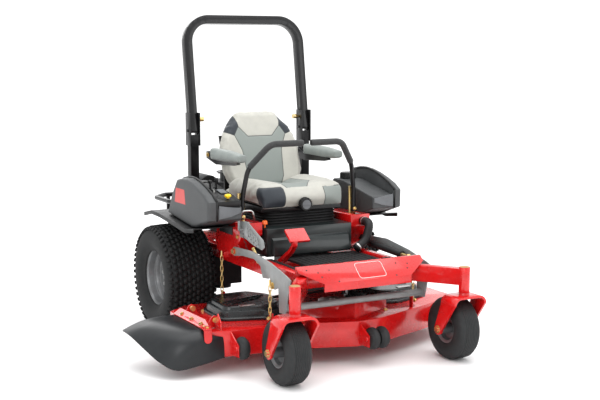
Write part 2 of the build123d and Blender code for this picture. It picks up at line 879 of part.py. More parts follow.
# ---------------------------------------------------------------- drive wheels
for name, s in (("right", -1), ("left", 1)):
    x = s * drive_x
    with BuildPart() as drive_tyre:
        bead_r = drive_rim_d / 2 + side_gap
        bead = drive_rim_w / 2 - rim_gauge - side_gap
        half = drive_tyre_w / 2
        r = drive_tyre_d / 2
        outer = [(-bead, bead_r), (-bead, bead_r + rim_lip), (-half + 5, 205), (-half, 235), (-half + 8, 275)]
        outer += [(-half + 32, r - 3), (0, r)]
        inner = [(0, r - tyre_wall), (-half + 38, r - tyre_wall - 3), (-half + 8 + tyre_wall, 268)]
        inner += [(-half + tyre_wall, 235), (-half + 5 + tyre_wall, 208), (-bead + tyre_wall, bead_r)]
        section = outer + [(-a, b) for a, b in reversed(outer[:-1])]
        section += [(-a, b) for a, b in reversed(inner)] + inner[1:]
        turned([(x + a, b) for a, b in section], 0, drive_z)
    save(f"tyre_{name}", drive_tyre.part)

    with BuildPart() as drive_rim:
        half = drive_rim_w / 2
        r = drive_rim_d / 2
        turned(
            [
                (x - half, r + rim_lip),
                (x - half + rim_gauge, r + rim_lip),
                (x - half + rim_gauge, r),
                (x + half - rim_gauge, r),
                (x + half - rim_gauge, r + rim_lip),
                (x + half, r + rim_lip),
                (x + half, r - rim_gauge),
                (x - half, r - rim_gauge),
            ],
            0,
            drive_z,
        )
        web = [(x + s * rim_web_x, 0, drive_z), (x + s * (rim_web_x + 6), 0, drive_z)]
        rod(*web, r - rim_gauge / 2)
        rod((x + s * (rim_web_x - 14), 0, drive_z), web[0], hub_flange_r)
        rod((s * shaft_end_x, 0, drive_z), web[0], hub_shaft_r)
        rod(web[1], (x + s * (rim_web_x + 26), 0, drive_z), 30)
        for k in range(lug_count):
            turn = radians(90 + 360 / lug_count * k)
            y, z = lug_circle_r * cos(turn), drive_z + lug_circle_r * sin(turn)
            rod((web[1][0], y, z), (web[1][0] + s * 16, y, z), 11)
    save(f"rim_{name}", drive_rim.part)

# ---------------------------------------------------------------- casters
for name, s in (("right", -1), ("left", 1)):
    x = s * caster_x
    axle_y = caster_pivot_y + caster_trail
    inner_half = fork_half_w - fork_plate
    with BuildPart() as fork:
        for half, crown, bend, mode in (
            (fork_half_w, fork_crown_z, fork_bend, Mode.ADD),
            (inner_half, fork_crown_z - fork_plate, fork_bend - fork_plate, Mode.SUBTRACT),
        ):
            low = caster_z - 2 * fork_leg_r
            with BuildSketch(Plane.XZ.offset(-(axle_y + 2 * fork_leg_r))) as bent:
                with Locations((x, (crown + low) / 2)):
                    Rectangle(2 * half, crown - low)
                fillet(bent.vertices().group_by(Axis.Y)[-1], bend)
            extrude(bent.sketch, amount=caster_trail + fork_crown_half + 3 * fork_leg_r, mode=mode)
        with BuildSketch(Plane.YZ.offset(x - fork_half_w - 1)) as side:
            Polygon(
                (caster_pivot_y - fork_crown_half, fork_crown_z + 1),
                (caster_pivot_y - fork_crown_half, fork_crown_z - 40),
                (axle_y - fork_leg_r, caster_z - 4),
                (axle_y + fork_leg_r - 2, caster_z + 8),
                (caster_pivot_y + fork_crown_half + 4, fork_crown_z - 50),
                (caster_pivot_y + fork_crown_half + 4, fork_crown_z + 1),
                align=None,
            )
            with Locations((axle_y, caster_z)):
                Circle(fork_leg_r)
        extrude(side.sketch, amount=2 * fork_half_w + 2, mode=Mode.INTERSECT)
        stem_foot = (x, caster_pivot_y, fork_crown_z - 1)
        rod(stem_foot, (x, caster_pivot_y, head_tube_top_z - 2), stem_r)
        rod(stem_foot, (x, caster_pivot_y, head_tube_bottom_z - side_gap), head_tube_d / 2 - 1)
        rod((x - fork_half_w, axle_y, caster_z), (x + fork_half_w, axle_y, caster_z), axle_r)
        for t in (-1, 1):
            head = (x + t * fork_half_w, axle_y, caster_z)
            rod(head, (x + t * (fork_half_w + bolt_head_t), axle_y, caster_z), bolt_head_r)
    save(f"fork_{name}", fork.part)

    with BuildPart() as caster_tyre:
        half = caster_tyre_w / 2
        r = caster_tyre_d / 2
        seat_r = caster_rim_d / 2 + side_gap
        flank = [(-caster_rim_half, seat_r), (-caster_rim_half - 6, 92), (-half, 118), (-half + 4, 142)]
        flank += [(-half + 18, r - 6), (-half + 34, r)]
        turned([(x + a, b) for a, b in flank + [(-a, b) for a, b in reversed(flank)]], axle_y, caster_z)
    save(f"caster_tyre_{name}", caster_tyre.part)

    with BuildPart() as caster_rim:
        r = caster_rim_d / 2
        ring = [(caster_rim_half, r), (caster_rim_half, r - rim_gauge), (-caster_rim_half, r - rim_gauge)]
        turned([(x + a, b) for a, b in ring + [(-caster_rim_half, r)]], axle_y, caster_z)
        rod((x - 4, axle_y, caster_z), (x + 4, axle_y, caster_z), r - rim_gauge / 2)
        hub_half = inner_half - side_gap
        rod((x - hub_half, axle_y, caster_z), (x + hub_half, axle_y, caster_z), 24)
        bore = axle_r + running_gap
        rod((x - hub_half - 1, axle_y, caster_z), (x + hub_half + 1, axle_y, caster_z), bore, Mode.SUBTRACT)
    save(f"caster_rim_{name}", caster_rim.part)

# ---------------------------------------------------------------- motion control levers
for name, s in (("right", -1), ("left", 1)):
    x = s * lever_x
    bar_front = lever_pivot_y - lever_bar_t / 2
    tube_y = bar_front - side_gap - lever_r
    with BuildPart() as control_arm:
        block(
            (x - lever_bar_w / 2, bar_front, lever_pivot_z),
            (x + lever_bar_w / 2, bar_front + lever_bar_t, lever_bar_top_z),
        )
        hinge = (x - lever_bar_w / 2, lever_pivot_y, lever_pivot_z)
        hinge_end = (x + lever_bar_w / 2, lever_pivot_y, lever_pivot_z)
        rod(hinge, hinge_end, 20)
        rod(hinge, hinge_end, lever_pin_r + running_gap, mode=Mode.SUBTRACT)
        rod((x, bar_front, lever_swing_z), (x, tube_y - lever_r - side_gap, lever_swing_z), swing_pin_r)
        cap_y = tube_y - lever_r - side_gap
        rod((x, cap_y, lever_swing_z), (x, cap_y - 5, lever_swing_z), 10)
    save(f"control_arm_{name}", control_arm.part)

    with BuildPart() as control_lever:
        foot = (x, tube_y, lever_swing_z)
        elbow, shoulder, tip = [
            (s * a, b, c)
            for a, b, c in (lever_elbow, lever_shoulder, (lever_tip_x, *lever_shoulder[1:]))
        ]
        rod((x, tube_y, lever_swing_z - 18), foot, lever_r)
        bent_tube([foot, (x, tube_y, lever_bar_top_z + 25), elbow, shoulder, tip], lever_r, lever_bend)
        grip_start = Vector(*elbow) + (Vector(*shoulder) - Vector(*elbow)) * grip_from
        bent_tube([tuple(grip_start), shoulder, tip], grip_r, lever_bend)
        rod(
            (x, tube_y - 20, lever_swing_z),
            (x, tube_y + 20, lever_swing_z),
            swing_pin_r + running_gap,
            mode=Mode.SUBTRACT,
        )
    save(f"control_lever_{name}", control_lever.part)

# ---------------------------------------------------------------- seat
with BuildPart() as seat_pan:
    block((-pan_half_w, pan_front_y, seat_pan_z + side_gap), (pan_half_w, pan_rear_y, cushion_bottom_z))
    block(
        (-pan_half_w + 3, pan_front_y + 3, seat_pan_z),
        (pan_half_w - 3, pan_rear_y - 3, cushion_bottom_z - 4),
        mode=Mode.SUBTRACT,
    )
    # Two straps behind the back cushion carry the armrest rod
    strap = [
        (pan_rear_y - 12, seat_pan_z + 6),
        (pan_rear_y, seat_pan_z + 6),
        (pan_rear_y, seat_back_bottom_z),
        (back_rear_y(1090) + 12.5, 1090),
        (back_rear_y(1090) + 0.5, 1090),
        (pan_rear_y - 11, seat_back_bottom_z),
    ]
    slab(strap, 170, 215)
    slab(strap, -215, -170)
    rod((-arm_inner_x - 16, arm_pivot_y, arm_pivot_z), (arm_inner_x + 16, arm_pivot_y, arm_pivot_z), arm_pin_r)
    for s in (-1, 1):
        end = s * (arm_inner_x + 16)
        rod((end, arm_pivot_y, arm_pivot_z), (end + s * 5, arm_pivot_y, arm_pivot_z), 13)
save("seat_pan", seat_pan.part)

with BuildPart() as seat_cushion:
    slab(
        [
            (pan_rear_y - 14, cushion_bottom_z),
            (seat_front_y + 30, cushion_bottom_z),
            (seat_front_y + 6, cushion_bottom_z - 8),
            (seat_front_y, cushion_bottom_z + 20),
            (seat_front_y + 6, cushion_top_z - 26),
            (seat_front_y + 40, cushion_top_z - 4),
            (seat_front_y + 130, cushion_top_z),
            (pan_rear_y - 120, cushion_top_z - 16),
            (pan_rear_y - 14, cushion_top_z - 10),
        ],
        -seat_half_w,
        seat_half_w,
    )
    rod(
        (0, seat_front_y - 1, ride_knob_z),
        (0, seat_front_y + 50, ride_knob_z),
        knob_stem_r + running_gap,
        mode=Mode.SUBTRACT,
    )
save("seat_cushion", seat_cushion.part)

with BuildPart() as seat_back:
    top = seat_back_top_z
    slab(
        [
            (back_rear_y(seat_back_bottom_z), seat_back_bottom_z),
            (back_front_y(seat_back_bottom_z), seat_back_bottom_z),
            (back_front_y(top - 20), top - 20),
            (back_front_y(top) + 20, top),
            (back_rear_y(top) - 25, top),
            (back_rear_y(top - 30), top - 30),
        ],
        -seat_half_w,
        seat_half_w,
    )
    front(
        [
            (-seat_half_w + 25, seat_back_bottom_z),
            (-seat_half_w, seat_back_bottom_z + 30),
            (-seat_half_w + 6, 1030),
            (-seat_half_w + 50, 1140),
            (-seat_back_top_half_w, seat_back_top_z),
            (seat_back_top_half_w, seat_back_top_z),
            (seat_half_w - 50, 1140),
            (seat_half_w - 6, 1030),
            (seat_half_w, seat_back_bottom_z + 30),
            (seat_half_w - 25, seat_back_bottom_z),
        ],
        200,
        400,
        mode=Mode.INTERSECT,
    )
save("seat_back", seat_back.part)

with BuildPart() as seat_bellows:
    block((-240, -555, pod_top_z), (240, -60, seat_pan_z))
    block((-228, -543, pod_top_z - 1), (228, -72, seat_pan_z + 1), mode=Mode.SUBTRACT)
save("seat_bellows", seat_bellows.part)

with BuildPart() as ride_knob:
    rod((0, seat_front_y - side_gap, ride_knob_z), (0, seat_front_y - 30, ride_knob_z), ride_knob_r)
    rod((0, seat_front_y - side_gap, ride_knob_z), (0, seat_front_y + 45, ride_knob_z), knob_stem_r)
save("ride_knob", ride_knob.part)

for name, s in (("right", -1), ("left", 1)):
    with BuildPart() as armrest:
        pad = [
            (arm_rear_y, arm_bottom_z),
            (arm_rear_y, arm_top_z - 12),
            (arm_rear_y - 15, arm_top_z),
            (arm_front_y + 60, arm_top_z),
            (arm_front_y + 12, arm_top_z - 14),
            (arm_front_y, arm_top_z - 40),
            (arm_front_y + 16, arm_bottom_z + 6),
            (arm_front_y + 60, arm_bottom_z),
        ]
        x_from, x_to = sorted((s * arm_inner_x, s * arm_outer_x))
        slab(pad, x_from, x_to)
        x_from, x_to = sorted((s * (arm_inner_x + 2), s * (arm_inner_x + 14)))
        slab(
            [
                (arm_pivot_y + 22, arm_pivot_z + 20),
                (arm_rear_y, arm_pivot_z + 20),
                (arm_rear_y, arm_bottom_z),
                (arm_front_y + 80, arm_bottom_z),
                (arm_front_y + 90, arm_bottom_z - 12),
                (arm_rear_y, arm_bottom_z - 18),
                (arm_pivot_y + 22, arm_pivot_z - 20),
            ],
            x_from,
            x_to,
        )
        bore = arm_pin_r + running_gap
        rod((x_from - 1, arm_pivot_y, arm_pivot_z), (x_to + 1, arm_pivot_y, arm_pivot_z), bore, Mode.SUBTRACT)
    save(f"armrest_{name}", armrest.part)

# ---------------------------------------------------------------- mower deck
deck_outline = [
    (deck_right_x, deck_rear_y - 90),
    (deck_right_x, -985),
    (-660, -1012),
    (-237, -1070),
    (deck_apex[0] - 55, deck_apex[1]),
    (deck_apex[0] + 55, deck_apex[1]),
    (275, -1092),
    (512, -1008),
    (deck_left_x, -860),
    (deck_left_x, deck_rear_y - 90),
    (660, deck_rear_y),
    (-640, deck_rear_y),
]
with BuildPart() as deck_shell:
    plan(deck_outline, deck_bottom_z, deck_top_z)
    with BuildSketch(Plane.XY.offset(deck_bottom_z)) as chamber:
        Polygon(*deck_outline, align=None)
        offset(amount=-deck_wall, kind=Kind.INTERSECTION, mode=Mode.REPLACE)
    extrude(chamber.sketch, amount=deck_top_z - deck_wall - deck_bottom_z, mode=Mode.SUBTRACT)
    # Side discharge opening
    block(
        (deck_right_x - 1, chute_front_y, deck_bottom_z - 1),
        (deck_right_x + deck_wall + 1, chute_rear_y, deck_top_z - deck_wall - 10),
        mode=Mode.SUBTRACT,
    )
    # Spindle housings
    for centre in spindles.values():
        rod((*centre, deck_top_z - deck_wall), (*centre, housing_top_z), housing_r)
        rod(
            (*centre, deck_top_z - deck_wall - 1),
            (*centre, housing_top_z + 1),
            spindle_r + running_gap,
            mode=Mode.SUBTRACT,
        )
    # Upright stiffener round the front of the centre spindle
    rib = [(-228, -937), (25, -1074), (290, -960)]
    back = [(x, y + rib_gauge * 1.3) for x, y in reversed(rib)]
    plan(rib + back, deck_top_z, rib_top_z)
    # Brackets and bolts of the rollers
    for name, (x, y) in rollers.items():
        if name == "roller_centre_left":
            continue
        face = x - roller_w / 2 - side_gap
        reach = roller_reach[name]
        slab(
            [
                (y + reach, deck_bottom_z + 10),
                (y + reach, deck_top_z - 4),
                (y - 18, roller_z + 18),
                (y - 18, roller_z - 40),
            ],
            face - plate_gauge,
            face,
        )
        length = roller_w if name != "roller_centre_right" else 2 * roller_w + roller_pair_gap
        rod((face - plate_gauge - 8, y, roller_z), (face, y, roller_z), 11)
        rod((face, y, roller_z), (face + length + 3 * side_gap, y, roller_z), roller_bolt_r)
        cap = face + length + 3 * side_gap
        rod((cap, y, roller_z), (cap + 6, y, roller_z), 11)
    # Ears and pin of the deflector hinge
    for y in (deflector_rear_y + 2, deflector_front_y - 8):
        block(
            (deflector_hinge_x - 12, y, deck_top_z - 12),
            (deck_right_x + 14, y + 6, deflector_hinge_z + 12),
        )
    rod(
        (deflector_hinge_x, deflector_rear_y + 4, deflector_hinge_z),
        (deflector_hinge_x, deflector_front_y - 4, deflector_hinge_z),
        hinge_pin_r,
    )
    # Chain brackets
    for s in (-1, 1):
        for y in (front_chain_y, rear_chain_y):
            x_from, x_to = sorted((s * (chain_x - 12), s * (chain_x - 8)))
            block((x_from, y - 14, deck_top_z), (x_to, y + 14, chain_pin_z + 12))
            rod((s * (chain_x - 8), y, chain_pin_z), (s * (chain_x + 6), y, chain_pin_z), chain_pin_r)
    # Front side bracket above the right corner of the deck
    slab(
        [(-1000, deck_top_z), (-1000, 262), (-965, 300), (-900, 236), (-900, deck_top_z)],
        deck_right_x + 60,
        deck_right_x + 66,
    )
save("deck_shell", deck_shell.part)

cover_half = [
    (40, -462),
    (120, -575),
    (130, -830),
    (-110, -905),
    (-230, -860),
    (-290, -620),
    (-190, -462),
]
with BuildPart() as belt_covers:
    for s in (-1, 1):
        base_x = deck_centre_x + s * spindle_pitch
        outline = [(base_x + s * a, b) for a, b in cover_half]
        with BuildSketch(Plane.XY.offset(deck_top_z)) as cover:
            Polygon(*outline, align=None)
            fillet(cover.vertices(), 40)
        extrude(cover.sketch, amount=cover_top_z - deck_top_z)
        with BuildSketch(Plane.XY.offset(deck_top_z)) as hollow:
            Polygon(*outline, align=None)
            fillet(hollow.vertices(), 40)
            offset(amount=-cover_wall, kind=Kind.INTERSECTION, mode=Mode.REPLACE)
        extrude(hollow.sketch, amount=cover_top_z - cover_wall - deck_top_z, mode=Mode.SUBTRACT)
        # Open where the belt runs in
        mouth = sorted((base_x - s * 140, base_x - s * 400))
        block(
            (mouth[0], -930, deck_top_z - 1),
            (mouth[1], -560, pulley_z + pulley_h + 6),
            mode=Mode.SUBTRACT,
        )
save("belt_covers", belt_covers.part)

with BuildPart() as deck_belt:
    with BuildSketch(Plane.XY.offset(pulley_z + (pulley_h - belt_h) / 2)) as loop:
        for centre in spindles.values():
            with Locations(centre):
                Circle(pulley_groove_r + side_gap + belt_t)
        make_hull()
    extrude(loop.sketch, amount=belt_h)
    with BuildSketch(Plane.XY.offset(pulley_z)) as inside:
        for centre in spindles.values():
            with Locations(centre):
                Circle(pulley_groove_r + side_gap)
        make_hull()
    extrude(inside.sketch, amount=pulley_h, mode=Mode.SUBTRACT)
save("deck_belt", deck_belt.part)

with BuildPart() as deck_chains:
    for s in (-1, 1):
        for y, links in ((front_chain_y, front_links), (rear_chain_y, rear_links)):
            for k in range(links):
                z = chain_pin_z - chain_pin_r - side_gap - link_wire + link_l / 2 + k * link_pitch
                if k % 2 == 0:
                    ring = Plane(origin=(s * chain_x, y, z), x_dir=(0, 0, 1), z_dir=(1, 0, 0))
                else:
                    ring = Plane(origin=(s * chain_x, y, z), x_dir=(0, 0, 1), z_dir=(0, 1, 0))
                with BuildSketch(ring):
                    SlotOverall(link_l, link_w)
                    SlotOverall(link_l - 2 * link_wire, link_w - 2 * link_wire, mode=Mode.SUBTRACT)
                extrude(amount=link_wire / 2, both=True)
save("deck_chains", deck_chains.part)

for name, (x, y) in spindles.items():
    with BuildPart() as spindle:
        rod((x, y, blade_z), (x, y, pulley_z + pulley_h + 8), spindle_r)
        block((x - blade_len / 2, y - blade_w / 2, blade_z), (x + blade_len / 2, y + blade_w / 2, blade_z + blade_t))
        rod((x, y, blade_z + blade_t), (x, y, deck_top_z - deck_wall - side_gap), spindle_r + 8)
        rod((x, y, blade_z - 14), (x, y, blade_z), spindle_r + 4)
        rod((x, y, pulley_z), (x, y, pulley_z + pulley_h), pulley_r)
        with BuildSketch(Plane.XY.offset(pulley_z + (pulley_h - belt_h) / 2 - side_gap)) as groove:
            with Locations((x, y)):
                Circle(pulley_r + 1)
                Circle(pulley_groove_r, mode=Mode.SUBTRACT)
        extrude(groove.sketch, amount=belt_h + 2 * side_gap, mode=Mode.SUBTRACT)
    save(name, spindle.part)

for name, (x, y) in rollers.items():
    with BuildPart() as roller:
        half = roller_w / 2
        crown = [(-half, 30), (-half, roller_r - 16), (-half + 14, roller_r - 2), (0, roller_r)]
        section = crown + [(-a, b) for a, b in reversed(crown[:-1])]
        bore = roller_bolt_r + running_gap
        section = [(-half, bore)] + section + [(half, bore)]
        turned([(x + a, b) for a, b in section], y, roller_z)
    save(name, roller.part)

# ---------------------------------------------------------------- discharge deflector
def flap_section(drop, reach, y):
    """Section of the rubber flap at a place along the hinge, as a curved strip hanging to a drop and reach."""
    top = (deflector_hinge_x - 8, deflector_hinge_z - 10)
    end = (deflector_hinge_x - reach, deflector_hinge_z - drop)
    bulge = (deflector_hinge_x - reach * 0.62, deflector_hinge_z - drop * 0.34)
    with BuildSketch(Plane.XZ.offset(-y)) as strip:
        with BuildLine():
            ThreePointArc(top, bulge, end)
            Line(end, (end[0], end[1] - rubber_t))
            ThreePointArc(
                (end[0], end[1] - rubber_t),
                (bulge[0], bulge[1] - rubber_t - 2),
                (top[0], top[1] - rubber_t),
            )
            Line((top[0], top[1] - rubber_t), top)
        make_face()
    return strip.sketch


with BuildPart() as deflector:
    middle = flap_section(120, 250, -800)
    loft([flap_section(56, deflector_hinge_x - deflector_tip_x, deflector_rear_y - 12), middle])
    loft([middle, flap_section(196, 165, deflector_front_y)])
    # Steel strap on the hinge line
    rod(
        (deflector_hinge_x, deflector_rear_y - 6, deflector_hinge_z),
        (deflector_hinge_x, deflector_front_y + 6, deflector_hinge_z),
        hinge_tube_r,
    )
    block(
        (deflector_hinge_x - 40, deflector_front_y + 6, deflector_hinge_z - 14),
        (deflector_hinge_x - 8, deflector_rear_y - 12, deflector_hinge_z - 8),
    )
    rod(
        (deflector_hinge_x, deflector_rear_y + 10, deflector_hinge_z),
        (deflector_hinge_x, deflector_front_y - 10, deflector_hinge_z),
        hinge_pin_r + running_gap,
        mode=Mode.SUBTRACT,
    )
save("deflector", deflector.part)

# ---------------------------------------------------------------- deck lift
with BuildPart() as lift_pedal:
    half = pedal_boss_w / 2
    rod((pedal_x - half, *pedal_pivot), (pedal_x + half, *pedal_pivot), 17)
    slab(
        [(-640, 440), (-660, 436), (-800, 532), (-842, 575), (-842, 602), (-772, 657)]
        + [(-764, 648), (-828, 595), (-828, 583), (-790, 548), (-652, 466)],
        pedal_x - 15,
        pedal_x + 15,
    )
    slab([(-842, 602), (-772, 657), (-764, 648), (-835, 592)], pedal_x - 25, pedal_x + 90)
    bore = pedal_pin_r + running_gap
    rod((pedal_x - half - 1, *pedal_pivot), (pedal_x + half + 1, *pedal_pivot), bore, Mode.SUBTRACT)
save("lift_pedal", lift_pedal.part)

with BuildPart() as lift_arms:
    pivot_y, pivot_z = lift_pivot
    slab(
        [
            (pivot_y + 2, pivot_z + 24),
            (-659, 552),
            (-769, 557),
            (-987, 530),
            (-1152, 493),
            (-1196, 478),
            (-1190, 436),
            (-1166, 393),
            (-1140, 300),
            (-1076, 296),
            (-1066, 420),
            (-1030, 404),
            (-985, 404),
            (-975, 452),
            (-952, 445),
            (-892, 438),
            (-868, 496),
            (-796, 520),
            (-658, 514),
            (pivot_y + 2, pivot_z - 24),
        ],
        arm_inner_face,
        arm_outer_face,
    )
    rod((arm_inner_face, pivot_y, pivot_z), (arm_outer_face, pivot_y, pivot_z), 24)
    rod(
        (arm_inner_face - 1, pivot_y, pivot_z),
        (arm_outer_face + 1, pivot_y, pivot_z),
        lift_pin_r + running_gap,
        mode=Mode.SUBTRACT,
    )
    # Stub beside the top link of the front chain
    stub_end = chain_x - link_w / 2 - side_gap
    rod((arm_outer_face, front_chain_y, 421), (stub_end, front_chain_y, 421), 8)
    mirror(about=Plane.YZ)
    rod((-arm_inner_face, *rock_shaft), (arm_inner_face, *rock_shaft), rock_shaft_r)
save("lift_arms", lift_arms.part)
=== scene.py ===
"""Looks of a zero turn mower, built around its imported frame.

The frame holds every sub-part at its real place, in metres: +Z is up, -Y is the front, -X is the operator's
right. This script gives each part its finish, replaces the plain soft and moulded parts by detailed ones, and
sets the studio. Each sub-assembly is a class with its sizes as fields and a build method.
"""

import logging
import math
from dataclasses import dataclass, field
from enum import Enum
from typing import Callable, Iterable, Optional, Sequence

import bmesh
import bpy
from mathutils import Matrix, Vector


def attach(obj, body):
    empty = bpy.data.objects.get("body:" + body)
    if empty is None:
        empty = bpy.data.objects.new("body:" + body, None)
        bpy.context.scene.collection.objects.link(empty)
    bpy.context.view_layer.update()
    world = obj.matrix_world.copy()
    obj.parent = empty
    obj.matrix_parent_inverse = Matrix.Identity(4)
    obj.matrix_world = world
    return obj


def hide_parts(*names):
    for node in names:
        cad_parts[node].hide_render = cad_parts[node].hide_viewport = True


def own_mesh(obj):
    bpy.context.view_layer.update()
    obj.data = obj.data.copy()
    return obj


log = logging.getLogger("mower")
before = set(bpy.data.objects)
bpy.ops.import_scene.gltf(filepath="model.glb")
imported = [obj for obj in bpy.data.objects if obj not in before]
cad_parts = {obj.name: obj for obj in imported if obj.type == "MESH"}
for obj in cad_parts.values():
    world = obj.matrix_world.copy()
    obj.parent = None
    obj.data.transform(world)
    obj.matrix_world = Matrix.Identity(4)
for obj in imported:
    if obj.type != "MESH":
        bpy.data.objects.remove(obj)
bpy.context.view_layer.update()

MM = 0.001
# From the machine's centre line and rear axle to the frame's origin
SHIFT = Vector((0.146, 0.4045, 0.0))

Point = Sequence[float]


def at(x: float, y: float, z: float) -> Vector:
    """A place given from the centre line, rear axle and ground in millimetres, in the frame's metres."""
    return Vector((x, y, z)) * MM + SHIFT


# ---------------------------------------------------------------- finishes


class Grain(Enum):
    """The kinds of fine relief that a finish can have."""

    NONE = "none"
    ORANGE_PEEL = "orange_peel"
    LEATHER = "leather"
    MOULDED = "moulded"
    CAST = "cast"
    BRUSHED = "brushed"


def new_group(name: str, inputs: dict, outputs: dict) -> bpy.types.NodeTree:
    """Make an empty shader node group.

    Args:
        name: The group's name.
        inputs: Socket name to a pair of socket type and default value.
        outputs: Socket name to socket type.

    Returns:
        The node tree with its input and output nodes named "in" and "out".
    """
    tree = bpy.data.node_groups.new(name, "ShaderNodeTree")
    for socket, (kind, value) in inputs.items():
        made = tree.interface.new_socket(socket, in_out="INPUT", socket_type=kind)
        made.default_value = value
    for socket, kind in outputs.items():
        tree.interface.new_socket(socket, in_out="OUTPUT", socket_type=kind)
    tree.nodes.new("NodeGroupInput").name = "in"
    tree.nodes.new("NodeGroupOutput").name = "out"
    return tree


def mottle_group() -> bpy.types.NodeTree:
    """Colour and roughness that drift slowly over a surface."""
    tree = new_group(
        "mottle",
        {
            "Color": ("NodeSocketColor", (0.5, 0.5, 0.5, 1)),
            "Shade": ("NodeSocketColor", (0.3, 0.3, 0.3, 1)),
            "Scale": ("NodeSocketFloat", 12.0),
            "Roughness": ("NodeSocketFloat", 0.4),
            "Spread": ("NodeSocketFloat", 0.1),
        },
        {"Color": "NodeSocketColor", "Roughness": "NodeSocketFloat"},
    )
    nodes, links = tree.nodes, tree.links
    place = nodes.new("ShaderNodeTexCoord")
    noise = nodes.new("ShaderNodeTexNoise")
    noise.inputs["Detail"].default_value = 6
    noise.inputs["Roughness"].default_value = 0.62
    links.new(place.outputs["Object"], noise.inputs["Vector"])
    links.new(nodes["in"].outputs["Scale"], noise.inputs["Scale"])
    ramp = nodes.new("ShaderNodeMapRange")
    ramp.inputs["From Min"].default_value = 0.34
    ramp.inputs["From Max"].default_value = 0.7
    links.new(noise.outputs["Fac"], ramp.inputs["Value"])
    mix = nodes.new("ShaderNodeMix")
    mix.data_type = "RGBA"
    links.new(ramp.outputs["Result"], mix.inputs["Factor"])
    links.new(nodes["in"].outputs["Color"], mix.inputs["A"])
    links.new(nodes["in"].outputs["Shade"], mix.inputs["B"])
    links.new(mix.outputs["Result"], nodes["out"].inputs["Color"])
    spread = nodes.new("ShaderNodeMath")
    spread.operation = "MULTIPLY_ADD"
    links.new(ramp.outputs["Result"], spread.inputs[0])
    links.new(nodes["in"].outputs["Spread"], spread.inputs[1])
    links.new(nodes["in"].outputs["Roughness"], spread.inputs[2])
    links.new(spread.outputs["Value"], nodes["out"].inputs["Roughness"])
    return tree


def relief_group(grain: Grain) -> bpy.types.NodeTree:
    """Fine relief of one kind, as a height that a Bump node reads."""
    tree = new_group(
        f"relief_{grain.value}",
        {"Scale": ("NodeSocketFloat", 300.0)},
        {"Height": "NodeSocketFloat"},
    )
    nodes, links = tree.nodes, tree.links
    place = nodes.new("ShaderNodeTexCoord")
    vector = place.outputs["Object"]
    if grain is Grain.BRUSHED:
        mapping = nodes.new("ShaderNodeMapping")
        mapping.inputs["Scale"].default_value = (1, 0.04, 1)
        links.new(vector, mapping.inputs["Vector"])
        vector = mapping.outputs["Vector"]
    if grain in (Grain.LEATHER, Grain.MOULDED):
        cells = nodes.new("ShaderNodeTexVoronoi")
        cells.feature = "SMOOTH_F1" if grain is Grain.LEATHER else "F1"
        links.new(vector, cells.inputs["Vector"])
        links.new(nodes["in"].outputs["Scale"], cells.inputs["Scale"])
        height = cells.outputs["Distance"]
    else:
        noise = nodes.new("ShaderNodeTexNoise")
        noise.inputs["Detail"].default_value = 1 if grain is Grain.ORANGE_PEEL else 5
        links.new(vector, noise.inputs["Vector"])
        links.new(nodes["in"].outputs["Scale"], noise.inputs["Scale"])
        height = noise.outputs["Fac"]
    links.new(height, nodes["out"].inputs["Height"])
    return tree


@dataclass(frozen=True)
class Finish:
    """One surface finish: what it is coloured, how it shines and what fine relief it has."""

    name: str
    color: tuple
    roughness: float
    shade: Optional[tuple] = None
    metallic: float = 0.0
    coat: float = 0.0
    spread: float = 0.08
    mottle_scale: float = 14.0
    grain: Grain = Grain.NONE
    grain_scale: float = 300.0
    grain_depth: float = 0.0002
    specular: float = 0.5
    sheen: float = 0.0

    def material(self, groups: dict) -> bpy.types.Material:
        """Build the Blender material of this finish.

        Args:
            groups: The shared node groups by name.

        Returns:
            The finished material.
        """
        made = bpy.data.materials.new(self.name)
        made.use_nodes = True
        nodes, links = made.node_tree.nodes, made.node_tree.links
        shader = nodes["Principled BSDF"]
        mottle = nodes.new("ShaderNodeGroup")
        mottle.node_tree = groups["mottle"]
        shade = self.shade or tuple(c * 0.78 for c in self.color)
        mottle.inputs["Color"].default_value = (*self.color, 1)
        mottle.inputs["Shade"].default_value = (*shade, 1)
        mottle.inputs["Scale"].default_value = self.mottle_scale
        mottle.inputs["Roughness"].default_value = self.roughness
        mottle.inputs["Spread"].default_value = self.spread
        links.new(mottle.outputs["Color"], shader.inputs["Base Color"])
        links.new(mottle.outputs["Roughness"], shader.inputs["Roughness"])
        shader.inputs["Metallic"].default_value = self.metallic
        shader.inputs["Coat Weight"].default_value = self.coat
        shader.inputs["Coat Roughness"].default_value = 0.06
        shader.inputs["Specular IOR Level"].default_value = self.specular
        shader.inputs["Sheen Weight"].default_value = self.sheen
        if self.grain is not Grain.NONE:
            relief = nodes.new("ShaderNodeGroup")
            relief.node_tree = groups[self.grain.value]
            relief.inputs["Scale"].default_value = self.grain_scale
            bump = nodes.new("ShaderNodeBump")
            bump.inputs["Strength"].default_value = 0.6
            bump.inputs["Distance"].default_value = self.grain_depth
            links.new(relief.outputs["Height"], bump.inputs["Height"])
            links.new(bump.outputs["Normal"], shader.inputs["Normal"])
        return made


